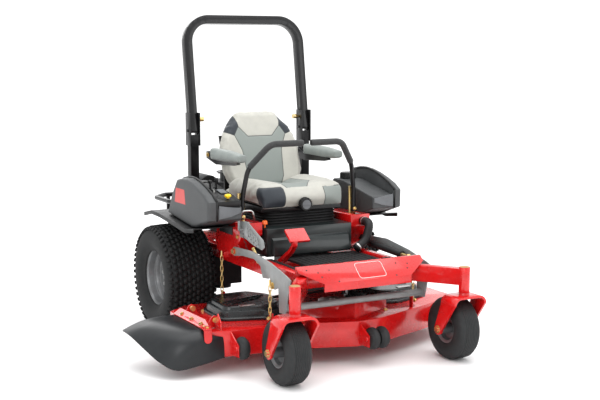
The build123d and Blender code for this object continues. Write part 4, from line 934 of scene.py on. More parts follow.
@dataclass
class DriveWheel:
    """A wide turf tyre with rows of small blocks, on a dished steel rim."""

    side: str
    sign: int
    rows: int = 9
    blocks: int = 52
    tread: float = 8.0
    row_pitch: float = 25.5
    skew: float = 0.16
    shoulder_lean: float = 0.85

    def build(self, shop: Workshop) -> None:
        """Make the tyre, the rim and the wheel bolts."""
        self.centre = at(self.sign * 539, 0, 302)
        self.tyre(shop)
        self.rim(shop)

    def crown(self, x: float) -> float:
        """Radius of the carcass under the tread at a distance from the tyre's middle, in millimetres."""
        return 294 - 5 * (abs(x) / 120) ** 2.4

    def tyre(self, shop: Workshop) -> None:
        """Make the carcass, its bead ring and the tread blocks."""
        mesh = bmesh.new()
        half = [(-112, 154), (-118, 160), (-122, 172), (-130, 182), (-140, 205), (-143, 235), (-139, 262)]
        half += [(-128, 281)] + [(-x, self.crown(x)) for x in (112, 80, 40, 0)]
        inner = [(0, 280), (-100, 276), (-126, 240), (-118, 190), (-100, 158)]
        profile = half + [(-x, r) for x, r in reversed(half[:-1])]
        profile += [(-x, r) for x, r in reversed(inner)] + inner[1:]
        lathe(mesh, profile, self.centre, 96)
        pitch = 2 * math.pi / self.blocks
        for row in range(self.rows):
            x = (row - (self.rows - 1) / 2) * self.row_pitch
            radius = self.crown(x)
            for k in range(self.blocks):
                turn = pitch * (k + 0.5 * (row % 2) + 0.13 * row)
                skew = self.skew if row % 2 else -self.skew
                self.lug(mesh, x, radius, turn, (19.5, 24.5, self.tread + 4), skew)
        for end in (-1, 1):
            for k in range(self.blocks):
                turn = pitch * (k + 0.25 * end)
                self.lug(mesh, end * 127.5, 282.5, turn, (21, 17, 12), 0, lean=end * self.shoulder_lean)
        shop.piece(
            f"turf_tyre_{self.side}",
            mesh,
            f"wheel_{self.side}",
            "tyre_rubber",
            "tyre_rubber",
            (f"tyre_{self.side}",),
        )

    def lug(
        self,
        mesh: bmesh.types.BMesh,
        x: float,
        radius: float,
        turn: float,
        size: Point,
        skew: float,
        lean: float = 0,
    ) -> None:
        """Add one tread block.

        Args:
            mesh: The tyre.
            x: Distance from the tyre's middle, in millimetres.
            radius: Radius of its foot.
            turn: Its place round the tyre, in radians.
            size: Its width, length and height.
            skew: How far it is turned on the tread.
            lean: How far it leans over the shoulder.
        """
        place = (
            Matrix.Translation(self.centre)
            @ Matrix.Rotation(turn, 4, "X")
            @ Matrix.Translation(Vector((x, 0, radius - 2)) * MM)
            @ Matrix.Rotation(lean, 4, "Y")
            @ Matrix.Rotation(skew, 4, "Z")
            @ Matrix.Translation(Vector((0, 0, size[2] / 2 - 1)) * MM)
            @ Matrix.Diagonal((*(s * MM for s in size), 1))
        )
        bmesh.ops.create_cube(mesh, size=1, matrix=place)

    def rim(self, shop: Workshop) -> None:
        """Make the rim with its stepped dish, hub and wheel bolts."""
        s, mesh = self.sign, bmesh.new()
        profile = [(s * x, r) for x, r in self.rim_section()]
        lathe(mesh, profile, self.centre, 72)
        hub = [(s * (30 + a), r) for a, r in ((0, 12), (0, 74), (-14, 74), (-14, 12))]
        lathe(mesh, hub, self.centre, 40)
        shaft = self.centre + Vector((-s * 0.211, 0, 0))
        cylinder(mesh, shaft, self.centre + Vector((s * 0.03, 0, 0)), 0.0172, 24)
        body = f"wheel_{self.side}"
        # The rim's darkened grey is painted shade of its deep dish.
        shop.piece(
            f"wheel_rim_{self.side}",
            mesh,
            body,
            "rim_silver_painted_shade",
            "rim_paint",
            (f"rim_{self.side}",),
            bevel=0.0012,
            bevel_angle=40,
        )
        bolts = bmesh.new()
        way = Vector((s, 0, 0))
        for k in range(5):
            turn = math.radians(90 + 72 * k)
            spot = self.centre + Vector((s * 36, 57 * math.cos(turn), 57 * math.sin(turn))) * MM
            hex_bolt(bolts, spot, way, 0.0115, 0.014)
        cap = self.centre + way * 0.036
        cylinder(bolts, cap, cap + way * 0.02, 0.026, 32, 0.022)
        shop.piece(f"wheel_bolts_{self.side}", bolts, body, "bright_steel", "key_metal", bevel=0.001)

    def rim_section(self) -> list:
        """Closed section of the rim: barrel with a lip at each end, and the stepped dish."""
        barrel = [(117, 160), (117, 167), (113, 168.5), (110, 161), (102, 154), (96, 152.5), (-96, 152.5)]
        barrel += [(-102, 154), (-110, 161), (-113, 168.5), (-117, 167), (-117, 159), (-108, 152)]
        barrel += [(-99, 147.5)]
        behind = [(46, 147.5), (44, 137), (30, 128), (28, 118), (28, 12)]
        dish = [(34, 12), (34, 116), (38, 124), (54, 129), (60, 133), (62, 141), (68, 144), (94, 146.5)]
        return barrel + behind + dish + [(101, 150), (109, 157)]


@dataclass
class CasterWheel:
    """A ribbed caster tyre on a small pressed rim with bolts."""

    side: str
    sign: int

    def build(self, shop: Workshop) -> None:
        """Make the tyre, the rim and the axle bolts."""
        centre = at(self.sign * 489, -1295, 164)
        body = f"caster_wheel_{self.side}"
        tyre = bmesh.new()
        flank = [(-54, 77), (-58, 84), (-63, 100), (-65, 118), (-62, 140), (-54, 153), (-44, 159.5)]
        ribs = []
        for k in range(-4, 5):
            x = k * 9.5
            top = 163.6 - 3.2 * (abs(x) / 44) ** 2
            ribs += [(x - 3.6, top), (x + 3.6, top), (x + 4.1, top - 1.6), (x + 5.3, top - 1.6)]
        profile = flank + ribs[:-2] + [(-x, r) for x, r in reversed(flank)]
        lathe(tyre, profile, centre, 80)
        shop.piece(
            f"ribbed_tyre_{self.side}",
            tyre,
            body,
            "caster_rubber",
            "caster_rubber",
            (f"caster_tyre_{self.side}",),
        )
        rim = bmesh.new()
        section = [(-54, 76), (-54, 80), (-50, 76.5), (-44, 66), (-22, 62), (-14, 40), (-14, 22)]
        section += [(14, 22), (14, 40), (22, 62), (44, 66), (50, 76.5), (54, 80), (54, 76)]
        section += [(46, 62), (24, 58), (18, 38), (20, 26), (84, 24), (87.5, 24), (87.5, 10)]
        section += [(-87.5, 10), (-87.5, 24), (-84, 24), (-20, 26), (-18, 38), (-24, 58), (-46, 62)]
        lathe(rim, section, centre, 56)
        # The caster rim takes the same darkened rim grey, which is painted shade of a deep dish.
        shop.piece(
            f"caster_wheel_rim_{self.side}",
            rim,
            body,
            "rim_silver_painted_shade",
            "rim_paint",
            (f"caster_rim_{self.side}",),
            bevel=0.0008,
            bevel_angle=45,
        )
        bolts = bmesh.new()
        for end in (-1, 1):
            spot = centre + Vector((end * 0.100, 0, 0))
            hex_bolt(bolts, spot, Vector((end, 0, 0)), 0.0155, 0.0125)
        fork = f"caster_{self.side}"
        shop.piece(f"axle_bolts_{self.side}", bolts, fork, "yellow_zinc", "chain_zinc", smooth=False)


# ---------------------------------------------------------------- controls


def bent_line(points: Sequence[Vector], bend: float, steps: int = 6) -> list:
    """Round the corners of a line through points.

    Args:
        points: Its corners, in metres.
        bend: How far from each corner the rounding starts.
        steps: Points in each rounding.

    Returns:
        The rounded line's points.
    """
    line = [points[0]]
    for before, corner, after in zip(points, points[1:], points[2:]):
        reach = min(bend, (before - corner).length * 0.45, (after - corner).length * 0.45)
        start = corner + (before - corner).normalized() * reach
        end = corner + (after - corner).normalized() * reach
        for k in range(steps + 1):
            t = k / steps
            line.append(start * (1 - t) ** 2 + corner * 2 * t * (1 - t) + end * t**2)
    return line + [points[-1]]


def tube(mesh: bmesh.types.BMesh, line: Sequence[Vector], radii: Sequence[float], segments: int = 20) -> None:
    """Add a closed tube along a line, with its own radius at each point.

    Args:
        mesh: The bmesh to add to.
        line: The middle line's points, in metres.
        radii: One radius for all points, or one for each.
        segments: Sides of the tube.
    """
    if len(radii) == 1:
        radii = list(radii) * len(line)
    side = (line[1] - line[0]).orthogonal().normalized()
    rings = []
    for k, point in enumerate(line):
        ahead = line[min(k + 1, len(line) - 1)] - line[max(k - 1, 0)]
        way = ahead.normalized()
        side = (side - way * side.dot(way)).normalized()
        other = way.cross(side)
        ring = []
        for n in range(segments):
            turn = 2 * math.pi * n / segments
            ring.append(mesh.verts.new(point + (side * math.cos(turn) + other * math.sin(turn)) * radii[k]))
        rings.append(ring)
    skin(mesh, rings)
    mesh.faces.new(list(reversed(rings[0])))
    mesh.faces.new(rings[-1])


def spread(line: Sequence[Vector], step: float) -> list:
    """Points at even steps along a line."""
    total = sum((b - a).length for a, b in zip(line, line[1:]))
    count = max(2, round(total / step))
    found, walked, k = [line[0]], 0.0, 0
    for n in range(1, count):
        goal = total * n / count
        while walked + (line[k + 1] - line[k]).length < goal:
            walked += (line[k + 1] - line[k]).length
            k += 1
        found.append(line[k].lerp(line[k + 1], (goal - walked) / (line[k + 1] - line[k]).length))
    return found + [line[-1]]


@dataclass
class Lever:
    """One control lever: black tube, foam grip, and the bolts of the plated bar that it bolts to."""

    side: str
    sign: int
    tube_r: float = 13
    grip_r: float = 17.5
    grip_from: float = 0.06

    def build(self, shop: Workshop) -> None:
        """Make the tube, its grip and the bolts of the bar."""
        s = self.sign
        elbow, shoulder = at(s * 322, -536, 958), at(s * 218, -601, 1091)
        foot, waist, tip = at(s * 348, -517, 684), at(s * 348, -517, 800), at(s * 24, -606, 1091)
        metal = bmesh.new()
        tube(metal, bent_line([foot, waist, elbow, shoulder, tip], 0.038), [self.tube_r * MM])
        shop.piece(
            f"lever_{self.side}_tube", metal, f"lever_{self.side}", "black_powder_coat", "lever_black",
            (f"control_lever_{self.side}",), bevel=0.001, bevel_angle=50,
        )
        grip = bmesh.new()
        start = elbow.lerp(shoulder, self.grip_from)
        line = spread(bent_line([start, shoulder, tip], 0.04, 10), 0.006)
        radii = [self.grip_r * MM] * len(line)
        radii[0] = radii[-1] = (self.grip_r - 3) * MM
        tube(grip, line, radii, 28)
        shop.piece(
            f"lever_{self.side}_grip", grip, f"lever_{self.side}", "foam_grip", "lever_black", bevel=0.0015,
            bevel_angle=40,
        )
        bolts = bmesh.new()
        for z in (712, 742):
            hex_bolt(bolts, at(s * 352, -500, z), Vector((s, 0, 0)), 0.0085, 0.008)
            hex_bolt(bolts, at(s * 344, -500, z), Vector((-s, 0, 0)), 0.0085, 0.008)
        hex_bolt(bolts, at(s * 352, -500, 800), Vector((s, 0, 0)), 0.0085, 0.008)
        shop.piece(
            f"lever_{self.side}_bolts", bolts, f"arm_{self.side}", "bright_steel", "zinc_plate", smooth=False
        )


# ---------------------------------------------------------------- deck


def through(points: Sequence[Point], share: float) -> Vector:
    """A place at a share of the way along a smooth line through points."""
    spots = [Vector(p) for p in points]
    spots = [spots[0] * 2 - spots[1], *spots, spots[-1] * 2 - spots[-2]]
    reach = share * (len(points) - 1)
    k = min(int(reach), len(points) - 2)
    t = reach - k
    a, b, c, d = spots[k : k + 4]
    return (b * 2 + (c - a) * t + (a * 2 - b * 5 + c * 4 - d) * t**2 + (b * 3 - a - c * 3 + d) * t**3) / 2


@dataclass
class Deflector:
    """The hinged rubber flap with its red folded bracket."""

    thickness: float = 7
    bulge: float = 52
    rows: int = 44
    columns: int = 26
    # Held edge from the rear, along the hinge and round the deck's corner
    held: tuple = (
        (-784, -614, 232),
        (-784, -760, 232),
        (-784, -880, 231),
        (-782, -960, 228),
        (-764, -994, 214),
        (-726, -1003, 200),
        (-684, -1004, 190),
    )
    # Free edge from the far rear corner, down to the ground and back to the deck
    free: tuple = (
        (-1070, -614, 184),
        (-1068, -720, 178),
        (-1040, -830, 136),
        (-994, -930, 82),
        (-930, -996, 50),
        (-806, -1010, 64),
        (-682, -1008, 86),
    )

    def build(self, shop: Workshop) -> None:
        """Make the rubber, the bracket on the deck's edge and its bolts."""
        rubber = bmesh.new()
        grid = []
        for i in range(self.rows + 1):
            v = i / self.rows
            grid.append([rubber.verts.new(self.place(k / self.columns, v)) for k in range(self.columns + 1)])
        for low, high in zip(grid, grid[1:]):
            for k in range(self.columns):
                rubber.faces.new((low[k], low[k + 1], high[k + 1], high[k]))
        bmesh.ops.recalc_face_normals(rubber, faces=rubber.faces)
        bmesh.ops.solidify(rubber, geom=rubber.faces[:], thickness=self.thickness * MM)
        shop.piece(
            "deflector_rubber", rubber, "flap", "flap_rubber", "flap_rubber", ("deflector",), bevel=0.001
        )
        self.bracket(shop)

    def place(self, u: float, v: float) -> Vector:
        """A place on the rubber.

        Args:
            u: Share of the way from the held edge to the free edge.
            v: Share of the way from the rear to the front corner by the deck.

        Returns:
            The place.
        """
        held, free = through(self.held, v), through(self.free, v)
        swell = math.sin(math.pi * u) * math.sin(math.pi * (0.12 + 0.88 * v)) ** 0.7
        out = Vector((-0.62, -0.36 * v, 0.66)) * (self.bulge * swell)
        return at(*(held.lerp(free, u) + out))

    def bracket(self, shop: Workshop) -> None:
        """Make the folded strip along the hinge with its rounded lobe, the pivot ears and the bolts."""
        red = bmesh.new()
        strip = [(-748, -606, 258), (-792, -612, 234), (-788, -960, 234), (-752, -988, 240)]
        strip += [(-738, -900, 258)]
        plate(red, [at(*p) for p in strip], Vector((0, 0, 0.005)))
        lobe = []
        for k in range(13):
            turn = math.pi * k / 12
            lobe.append(at(-772 - 21 * math.cos(turn), -1016, 190 - 21 * math.sin(turn)))
        plate(red, [at(-793, -1012, 236), *lobe, at(-751, -1012, 236)], Vector((0, 0.005, 0)))
        plate(
            red,
            [at(-793, -1013, 236), at(-793, -955, 240), at(-748, -980, 240), at(-751, -1013, 236)],
            Vector((0, 0, 0.005)),
        )
        shop.piece("deflector_bracket", red, "flap", "red_powder_coat", "flap_rubber", bevel=0.0015)
        bolts = bmesh.new()
        for y in (-680, -800, -920):
            hex_bolt(bolts, at(-770, y, 247), Vector((-0.3, 0, 1)), 0.009, 0.009)
        cylinder(bolts, at(-770, -960, 243), at(-770, -1000, 243), 0.008, 16)
        shop.piece("deflector_bolts", bolts, "flap", "yellow_zinc", "chain_zinc", smooth=False)
        ears = bmesh.new()
        for y in (-640, -928):
            ear = [(-742, 222), (-742, 236), (-716, 276), (-700, 284), (-684, 276), (-660, 222)]
            plate(ears, [at(x, y, z) for x, z in ear], Vector((0, 0.006, 0)))
        shop.piece("deflector_ears", ears, "deck", "red_powder_coat", "red_paint", bevel=0.0015)
        bush = bmesh.new()
        cylinder(bush, at(-700, -622, 262), at(-700, -660, 262), 0.014, 20)
        hex_bolt(bush, at(-700, -934, 262), Vector((0, -1, 0)), 0.01, 0.01)
        shop.piece("deflector_bush", bush, "deck", "yellow_zinc", "chain_zinc", smooth=False)


@dataclass
class BeltCover:
    """One moulded belt cover: a raised shell with stepped edge and long ribs."""

    side: str
    sign: int
    centre_x: float = 10
    spread_x: float = 500
    low: float = 221

    def outline(self, inset: float) -> list:
        """Outline at an inset, rounded, as x and y in millimetres."""
        half = [(40, -462), (120, -575), (130, -830), (-110, -905), (-230, -860), (-290, -620), (-190, -462)]
        corners = [Vector((x, y, 0)) for x, y in half]
        middle = sum(corners, Vector()) / len(corners)
        moved = []
        for corner in corners:
            away = (corner - middle).normalized()
            moved.append(corner - away * inset * 1.12)
        ring = []
        for k, corner in enumerate(moved):
            before, after = moved[k - 1], moved[(k + 1) % len(moved)]
            ring += bent_line([before.lerp(corner, 0.5), corner, after.lerp(corner, 0.5)], 42, 6)[1:-1]
        base_x = self.centre_x + self.sign * self.spread_x
        return [(base_x + self.sign * v.x, v.y) for v in ring]

    def build(self, shop: Workshop) -> None:
        """Make the shell in steps from the rim to the crown, with its ribs and strap."""
        shell = bmesh.new()
        # Inset of the outline at each height
        levels = ((0, self.low), (0, 232), (5, 236), (12, 238), (16, 262), (20, 268), (34, 270), (39, 284))
        levels += ((46, 288),)
        rings = [[shell.verts.new(at(x, y, z)) for x, y in self.outline(inset)] for inset, z in levels]
        skin(shell, rings)
        shell.faces.new(rings[-1])
        shell.faces.new(list(reversed(rings[0])))
        base_x = self.centre_x + self.sign * self.spread_x
        for step in range(3):
            a = at(base_x + self.sign * (-200 + 20 * step), -640 - 24 * step, 288)
            b = at(base_x + self.sign * (60 - 10 * step), -700 - 30 * step, 288)
            tube(shell, [a, b], [0.0045], 10)
        shop.piece(
            f"belt_cover_{self.side}", shell, "deck", "cover_plastic", "cover_plastic",
            ("belt_covers",) if self.sign < 0 else (), bevel=0.002, bevel_angle=24,
        )
        strap = bmesh.new()
        x = base_x + self.sign * -20
        block(strap, at(x - 42, -832, 287), at(x + 42, -808, 291))
        shop.piece(f"cover_strap_{self.side}", strap, "deck", "bright_steel", "cover_plastic", bevel=0.001)


@dataclass
class Chains:
    """Lift chains of round wire with a bolt at each end."""

    pitch: float = 28
    wire: float = 2.6
    runs: tuple = ((-1005, 6), (-425, 8))
    foot: float = 268

    def build(self, shop: Workshop) -> None:
        """Make the chains of both sides."""
        links = bmesh.new()
        bolts = bmesh.new()
        for sign in (-1, 1):
            for y, count in self.runs:
                for k in range(count):
                    self.link(links, at(sign * 430, y, self.foot + self.pitch * k), k % 2 == 0)
                low = at(sign * 430, y, self.foot - 14)
                hex_bolt(bolts, low + Vector((sign * 0.008, 0, 0)), Vector((sign, 0, 0)), 0.008, 0.01)
                top = at(sign * 430, y, self.foot + self.pitch * (count - 1) + 12)
                cylinder(bolts, top, top + Vector((0, 0, 0.03)), 0.005, 14)
        shop.piece("chain_links", links, "deck", "yellow_zinc", "chain_zinc", ("deck_chains",))
        shop.piece("chain_bolts", bolts, "deck", "yellow_zinc", "chain_zinc", smooth=False)

    def link(self, mesh: bmesh.types.BMesh, centre: Vector, flat: bool) -> None:
        """Add one link as a stadium of round wire."""
        line = []
        straight, bend = 0.0105, 0.0068
        for k in range(24):
            turn = 2 * math.pi * k / 24
            up = math.sin(turn) * bend + (straight if math.sin(turn) >= 0 else -straight)
            across = math.cos(turn) * bend
            line.append(centre + (Vector((0, across, up)) if flat else Vector((across, 0, up))))
        line.append(line[0])
        tube(mesh, line, [self.wire * MM], 8)


# ---------------------------------------------------------------- bodywork


@dataclass
class Tank:
    """One side's fuel tank: rounded outer body, stepped inner body, dark rim, front panel and decal."""

    side: str
    sign: int
    outer_top: tuple = ((-637, 804), (-585, 836), (-510, 864), (-430, 888), (-350, 902), (-270, 899),
                        (-195, 884))
    outer_low: tuple = ((-120, 792), (-60, 684), (-200, 664), (-320, 648), (-410, 641), (-470, 650),
                        (-634, 705))
    inner_top: tuple = ((-634, 773), (-300, 835), (-195, 836), (-95, 750))

    def build(self, shop: Workshop) -> None:
        """Make the two bodies, the rim line, the decal and the front panel."""
        s = self.sign
        body = bmesh.new()
        outline = [*self.outer_top, *self.outer_low]
        rings = []
        for x, inset in ((548, 0), (566, 0), (582, 2.5), (591, 7), (597, 15), (599, 26)):
            middle = Vector((sum(y for y, _ in outline), sum(z for _, z in outline))) / len(outline)
            ring = []
            for y, z in outline:
                away = (Vector((y, z)) - middle).normalized() * inset
                ring.append(body.verts.new(at(s * x, y - away.x, z - away.y)))
            rings.append(ring)
        skin(body, rings)
        body.faces.new(rings[0])
        body.faces.new(rings[-1])
        shop.piece(
            f"tank_{self.side}_outer", body, "chassis", "tank_plastic", "tank_plastic",
            ("fuel_tanks",) if s < 0 else (), bevel=0.004, bevel_angle=14,
        )
        inner = bmesh.new()
        low = [(-60, 684), (-200, 664), (-410, 642), (-470, 651), (-634, 705)]
        plate(inner, [at(s * 404, y, z) for y, z in [*self.inner_top, *low]], Vector((s * 0.144, 0, 0)))
        shop.piece(
            f"tank_{self.side}_inner",
            inner,
            "chassis",
            "tank_plastic",
            "tank_plastic",
            bevel=0.008,
            bevel_angle=25,
        )
        trim = bmesh.new()
        rim = [at(s * 549, y, z + 2) for y, z in self.outer_top]
        tube(trim, bent_line(rim, 0.03, 3), [0.007], 12)
        tube(trim, [at(s * 549, -637, 806), at(s * 549, -636, 704)], [0.0045], 10)
        shop.piece(f"tank_{self.side}_rim", trim, "chassis", "black_plastic", "tank_plastic")
        panel = bmesh.new()
        front = [(538, 712), (538, 784), (412, 764), (412, 740), (470, 722)]
        plate(panel, [at(s * x, -634.5, z) for x, z in front], Vector((0, -0.004, 0)))
        shop.piece(
            f"tank_{self.side}_panel",
            panel,
            "chassis",
            "tank_panel",
            "tank_plastic",
            bevel=0.003,
            bevel_angle=20,
        )
        decal = bmesh.new()
        corners = [(-330, 758), (-316, 838), (-196, 838), (-178, 758)]
        plate(decal, [at(s * 598.6, y, z) for y, z in corners], Vector((s * 0.0008, 0, 0)))
        shop.piece(f"tank_{self.side}_decal", decal, "chassis", "red_decal", "tank_plastic", smooth=False)
        cap = bmesh.new()
        foot = at(s * 472.5, -245, 838)
        cylinder(cap, foot, foot + Vector((0, 0, 0.034)), 0.045, 40, 0.042)
        for k in range(20):
            turn = math.pi * k / 10
            out = Vector((math.cos(turn), math.sin(turn), 0)) * 0.0435
            cylinder(cap, foot + out, foot + out + Vector((0, 0, 0.03)), 0.0035, 8, 0.0028)
        shop.piece(
            f"fuel_cap_{self.side}", cap, "chassis", "black_plastic", "cap_plastic",
            ("fuel_caps",) if s < 0 else (), bevel=0.002,
        )


@dataclass
class Nose:
    """Marks and holes of the front cover: blank outlined badge, fixing holes and slotted flange."""

    top: Point = (-1163, 534)
    fold: Point = (-1250, 455)

    def on_face(self, x: float, share: float, lift: float = 0.0) -> Vector:
        """A place on the sloping face.

        Args:
            x: Distance from the centre line, in millimetres.
            share: 0 at its top edge, 1 at the fold.
            lift: Height off the face, in millimetres.

        Returns:
            The place.
        """
        way = Vector((0, self.fold[0] - self.top[0], self.fold[1] - self.top[1])).normalized()
        out = Vector((0, way.z, -way.y))
        spot = Vector((x, self.top[0], self.top[1])).lerp(Vector((x, self.fold[0], self.fold[1])), share)
        return at(*(spot + out * lift))

    def build(self, shop: Workshop) -> None:
        """Make the badge, the holes and the small fixings."""
        badge = bmesh.new()
        line = []
        for x, share in ((-44, 0.1), (112, 0.1), (112, 0.9), (-44, 0.9)):
            line.append(self.on_face(x, share, 0.6))
        middles = [line[k - 1].lerp(line[k], 0.5) for k in range(4)]
        ring = []
        for k in range(4):
            ring += bent_line([middles[k], line[k], middles[(k + 1) % 4]], 0.018, 8)[1:]
        tube(badge, ring + [ring[0]], [0.0014], 6)
        shop.piece("nose_badge", badge, "chassis", "white_badge", "red_paint")
        # Black discs set in the fixing holes: painted shade of the openings.
        holes = bmesh.new()
        spots = [(-262, 0.38), (-250, 0.62), (-196, 0.30), (-168, 0.93), (262, 0.38), (250, 0.62), (196, 0.3)]
        for x, share in [*spots, (168, 0.93), (-318, 0.2)]:
            cylinder(holes, self.on_face(x, share, -2), self.on_face(x, share, 0.5), 0.0042, 16)
        shop.piece("nose_hole_shade", holes, "chassis", "black_plastic", "black_paint", smooth=False)
        # Black blocks set in the flange's slots: painted shade of the openings.
        slots = bmesh.new()
        for x in (-120, 20, 160):
            block(slots, at(x - 26, -1158, 533), at(x + 26, -1150, 538))
        shop.piece("nose_slot_shade", slots, "chassis", "black_plastic", "black_paint", bevel=0.001)
        caps = bmesh.new()
        for s in (-1, 1):
            cylinder(caps, at(s * 489, -1380, 494), at(s * 489, -1380, 497.5), 0.0255, 32, 0.0245)
        shop.piece("head_caps", caps, "chassis", "tan_cap", "knob_yellow", bevel=0.0012)


@dataclass
class SmallParts:
    """Bolts, knobs, handle, hose clamps and other small fittings."""

    def build(self, shop: Workshop) -> None:
        """Make every small fitting."""
        self.bolts(shop)
        self.console(shop)
        self.handle(shop)
        self.plate_holes(shop)
        self.hose(shop)
        self.dampers(shop)
        self.floor_ribs(shop)
        self.latch(shop)

    def bolts(self, shop: Workshop) -> None:
        """Make the plated bolts of the frame, the lift arms, the rollers and the deck."""
        fixed, moving, deck = bmesh.new(), bmesh.new(), bmesh.new()
        for s in (-1, 1):
            hex_bolt(fixed, at(s * 397, -560, 600), Vector((s, 0, 0)), 0.009, 0.008)
            hex_bolt(fixed, at(s * 340, -1105, 452), Vector((s, 0, 0)), 0.009, 0.008)
            hex_bolt(moving, at(s * 415, -555, 523), Vector((s, 0, 0)), 0.014, 0.014)
            hex_bolt(moving, at(s * 415, -1005, 420), Vector((s, 0, 0)), 0.013, 0.013)
            for x, y in ((250, -1000), (610, -560), (330, -520)):
                hex_bolt(deck, at(s * x + 10, y, 220), Vector((0, 0, 1)), 0.01, 0.008)
        shop.piece("frame_bolts", fixed, "chassis", "yellow_zinc", "chain_zinc", smooth=False)
        shop.piece("lift_bolts", moving, "lift", "yellow_zinc", "chain_zinc", smooth=False)
        shop.piece("deck_bolts", deck, "deck", "yellow_zinc", "chain_zinc", smooth=False)

    def console(self, shop: Workshop) -> None:
        """Make the lobed blade knob, the lever knobs, the hour meter and the white marks."""

        def surface(y: float) -> float:
            """Height of the console's top at a place."""
            return 805 + (y + 637) * 62 / 337

        knob = bmesh.new()
        foot = at(-470, -600, surface(-600) + 4)
        cylinder(knob, foot, foot + Vector((0, 0, 0.016)), 0.008, 20)
        for k in range(5):
            turn = 2 * math.pi * k / 5
            spot = foot + Vector((0.0105 * math.cos(turn), 0.0105 * math.sin(turn), 0.014))
            bmesh.ops.create_uvsphere(
                knob, u_segments=16, v_segments=10, radius=0.0088, matrix=Matrix.Translation(spot)
            )
        cylinder(knob, foot + Vector((0, 0, 0.01)), foot + Vector((0, 0, 0.024)), 0.012, 24, 0.010)
        shop.piece("blade_knob", knob, "blade_knob", "yellow_knob", "knob_yellow", ("pto_knob",), bevel=0.001)
        for name, x in (("throttle", -455), ("choke", -490)):
            stick = bmesh.new()
            low, high = at(x, -420, surface(-420) + 2), at(x, -410, surface(-420) + 42)
            tube(stick, [low, low.lerp(high, 0.6), high], [0.004, 0.004, 0.0035], 12)
            bmesh.ops.create_uvsphere(
                stick, u_segments=18, v_segments=12, radius=0.009, matrix=Matrix.Translation(high)
            )
            shop.piece(f"{name}_grip", stick, name, "black_plastic", "lever_black")
        meter = bmesh.new()
        z = surface(-480)
        tilt = (surface(-450) - surface(-510)) / 2
        plate(
            meter,
            [at(-470, -510, z - tilt + 2), at(-430, -510, z - tilt + 2), at(-430, -450, z + tilt + 2),
             at(-470, -450, z + tilt + 2)],
            Vector((0, 0, 0.006)),
        )
        shop.piece("hour_meter", meter, "chassis", "tank_panel", "console_plastic", bevel=0.0015)
        marks = bmesh.new()
        for k in range(4):
            spot = at(-528, -560 + 26 * k, surface(-560 + 26 * k) + 1)
            cylinder(marks, spot, spot + Vector((0, 0, 0.0015)), 0.0032, 12)
        shop.piece("console_marks", marks, "chassis", "white_badge", "console_plastic", smooth=False)

    def handle(self, shop: Workshop) -> None:
        """Make the bright bent height handle over the right tower."""
        rod = bmesh.new()
        line = [at(-386, -566, 672), at(-386, -596, 742), at(-330, -606, 742), at(-318, -606, 694)]
        tube(rod, bent_line(line, 0.016), [0.0055], 14)
        shop.piece("height_handle", rod, "chassis", "bright_steel", "key_metal")

    def plate_holes(self, shop: Workshop) -> None:
        """Make the grid of holes of the cutting height plate, as black discs that paint the shade seen in the
        holes.
        """
        holes = bmesh.new()
        for row in range(5):
            for column in range(3 if row < 3 else 2):
                y, z = -640 - 18 * row - 6 * column, 628 - 24 * row - 18 * column
                cylinder(holes, at(-402.8, y, z), at(-401.5, y, z), 0.0045, 14)
        # Black discs: painted shade in the plate's holes.
        shop.piece("height_hole_shade", holes, "chassis", "black_plastic", "grey_paint", smooth=False)

    def hose(self, shop: Workshop) -> None:
        """Make the ribbed hydraulic hose with its clamps."""
        corners = [at(350, -612, 640), at(350, -694, 640), at(318, -704, 545), at(250, -712, 506)]
        line = spread(bent_line(corners, 0.05, 10), 0.005)
        hose = bmesh.new()
        radii = [(23.2 + (0.7 if k % 2 else 0)) * MM for k in range(len(line))]
        tube(hose, line, radii, 24)
        shop.piece("hose_body", hose, "chassis", "hose_rubber", "hose_rubber", ("hydraulic_hose",))
        bands = bmesh.new()
        for k in (3, len(line) - 5):
            cylinder(bands, line[k], line[k + 2], 0.0252, 28)
        shop.piece("hose_bands", bands, "chassis", "bright_steel", "key_metal", bevel=0.0006)

    def dampers(self, shop: Workshop) -> None:
        """Make the plated rods and eyes of the assist spring and the damper."""
        rods = bmesh.new()
        tube(rods, [at(-378, -706, 560), at(-378, -770, 510)], [0.0085], 16)
        cylinder(rods, at(-388, -776, 505), at(-368, -776, 505), 0.014, 20)
        tube(rods, [at(371, -980, 506), at(366, -1040, 505)], [0.0095], 16)
        cylinder(rods, at(356, -1050, 505), at(376, -1050, 505), 0.014, 20)
        shop.piece("damper_rods", rods, "chassis", "yellow_zinc", "chain_zinc", bevel=0.001, bevel_angle=50)

    def floor_ribs(self, shop: Workshop) -> None:
        """Make the ribs of the floor mat."""
        ribs = bmesh.new()
        for k in range(17):
            x = -256 + 32 * k
            # The ribs beside the pedal stop before its slot in the floor
            rear = -904 if abs(x + 200) < 40 else -700
            block(ribs, at(x - 4, -1130, 480), at(x + 4, rear, 482.5))
        shop.piece("floor_mat_ribs", ribs, "chassis", "floor_rubber", "floor_mat", bevel=0.001)

    def latch(self, shop: Workshop) -> None:
        """Make the orange knob at the pod's corner."""
        knob = bmesh.new()
        cylinder(knob, at(-250, -590, 641), at(-250, -590, 664), 0.006, 16)
        cylinder(knob, at(-250, -590, 660), at(-250, -590, 682), 0.017, 28, 0.013)
        shop.piece(
            "latch_knob", knob, "latch", "orange_knob", "knob_orange", ("transport_latch",), bevel=0.004
        )


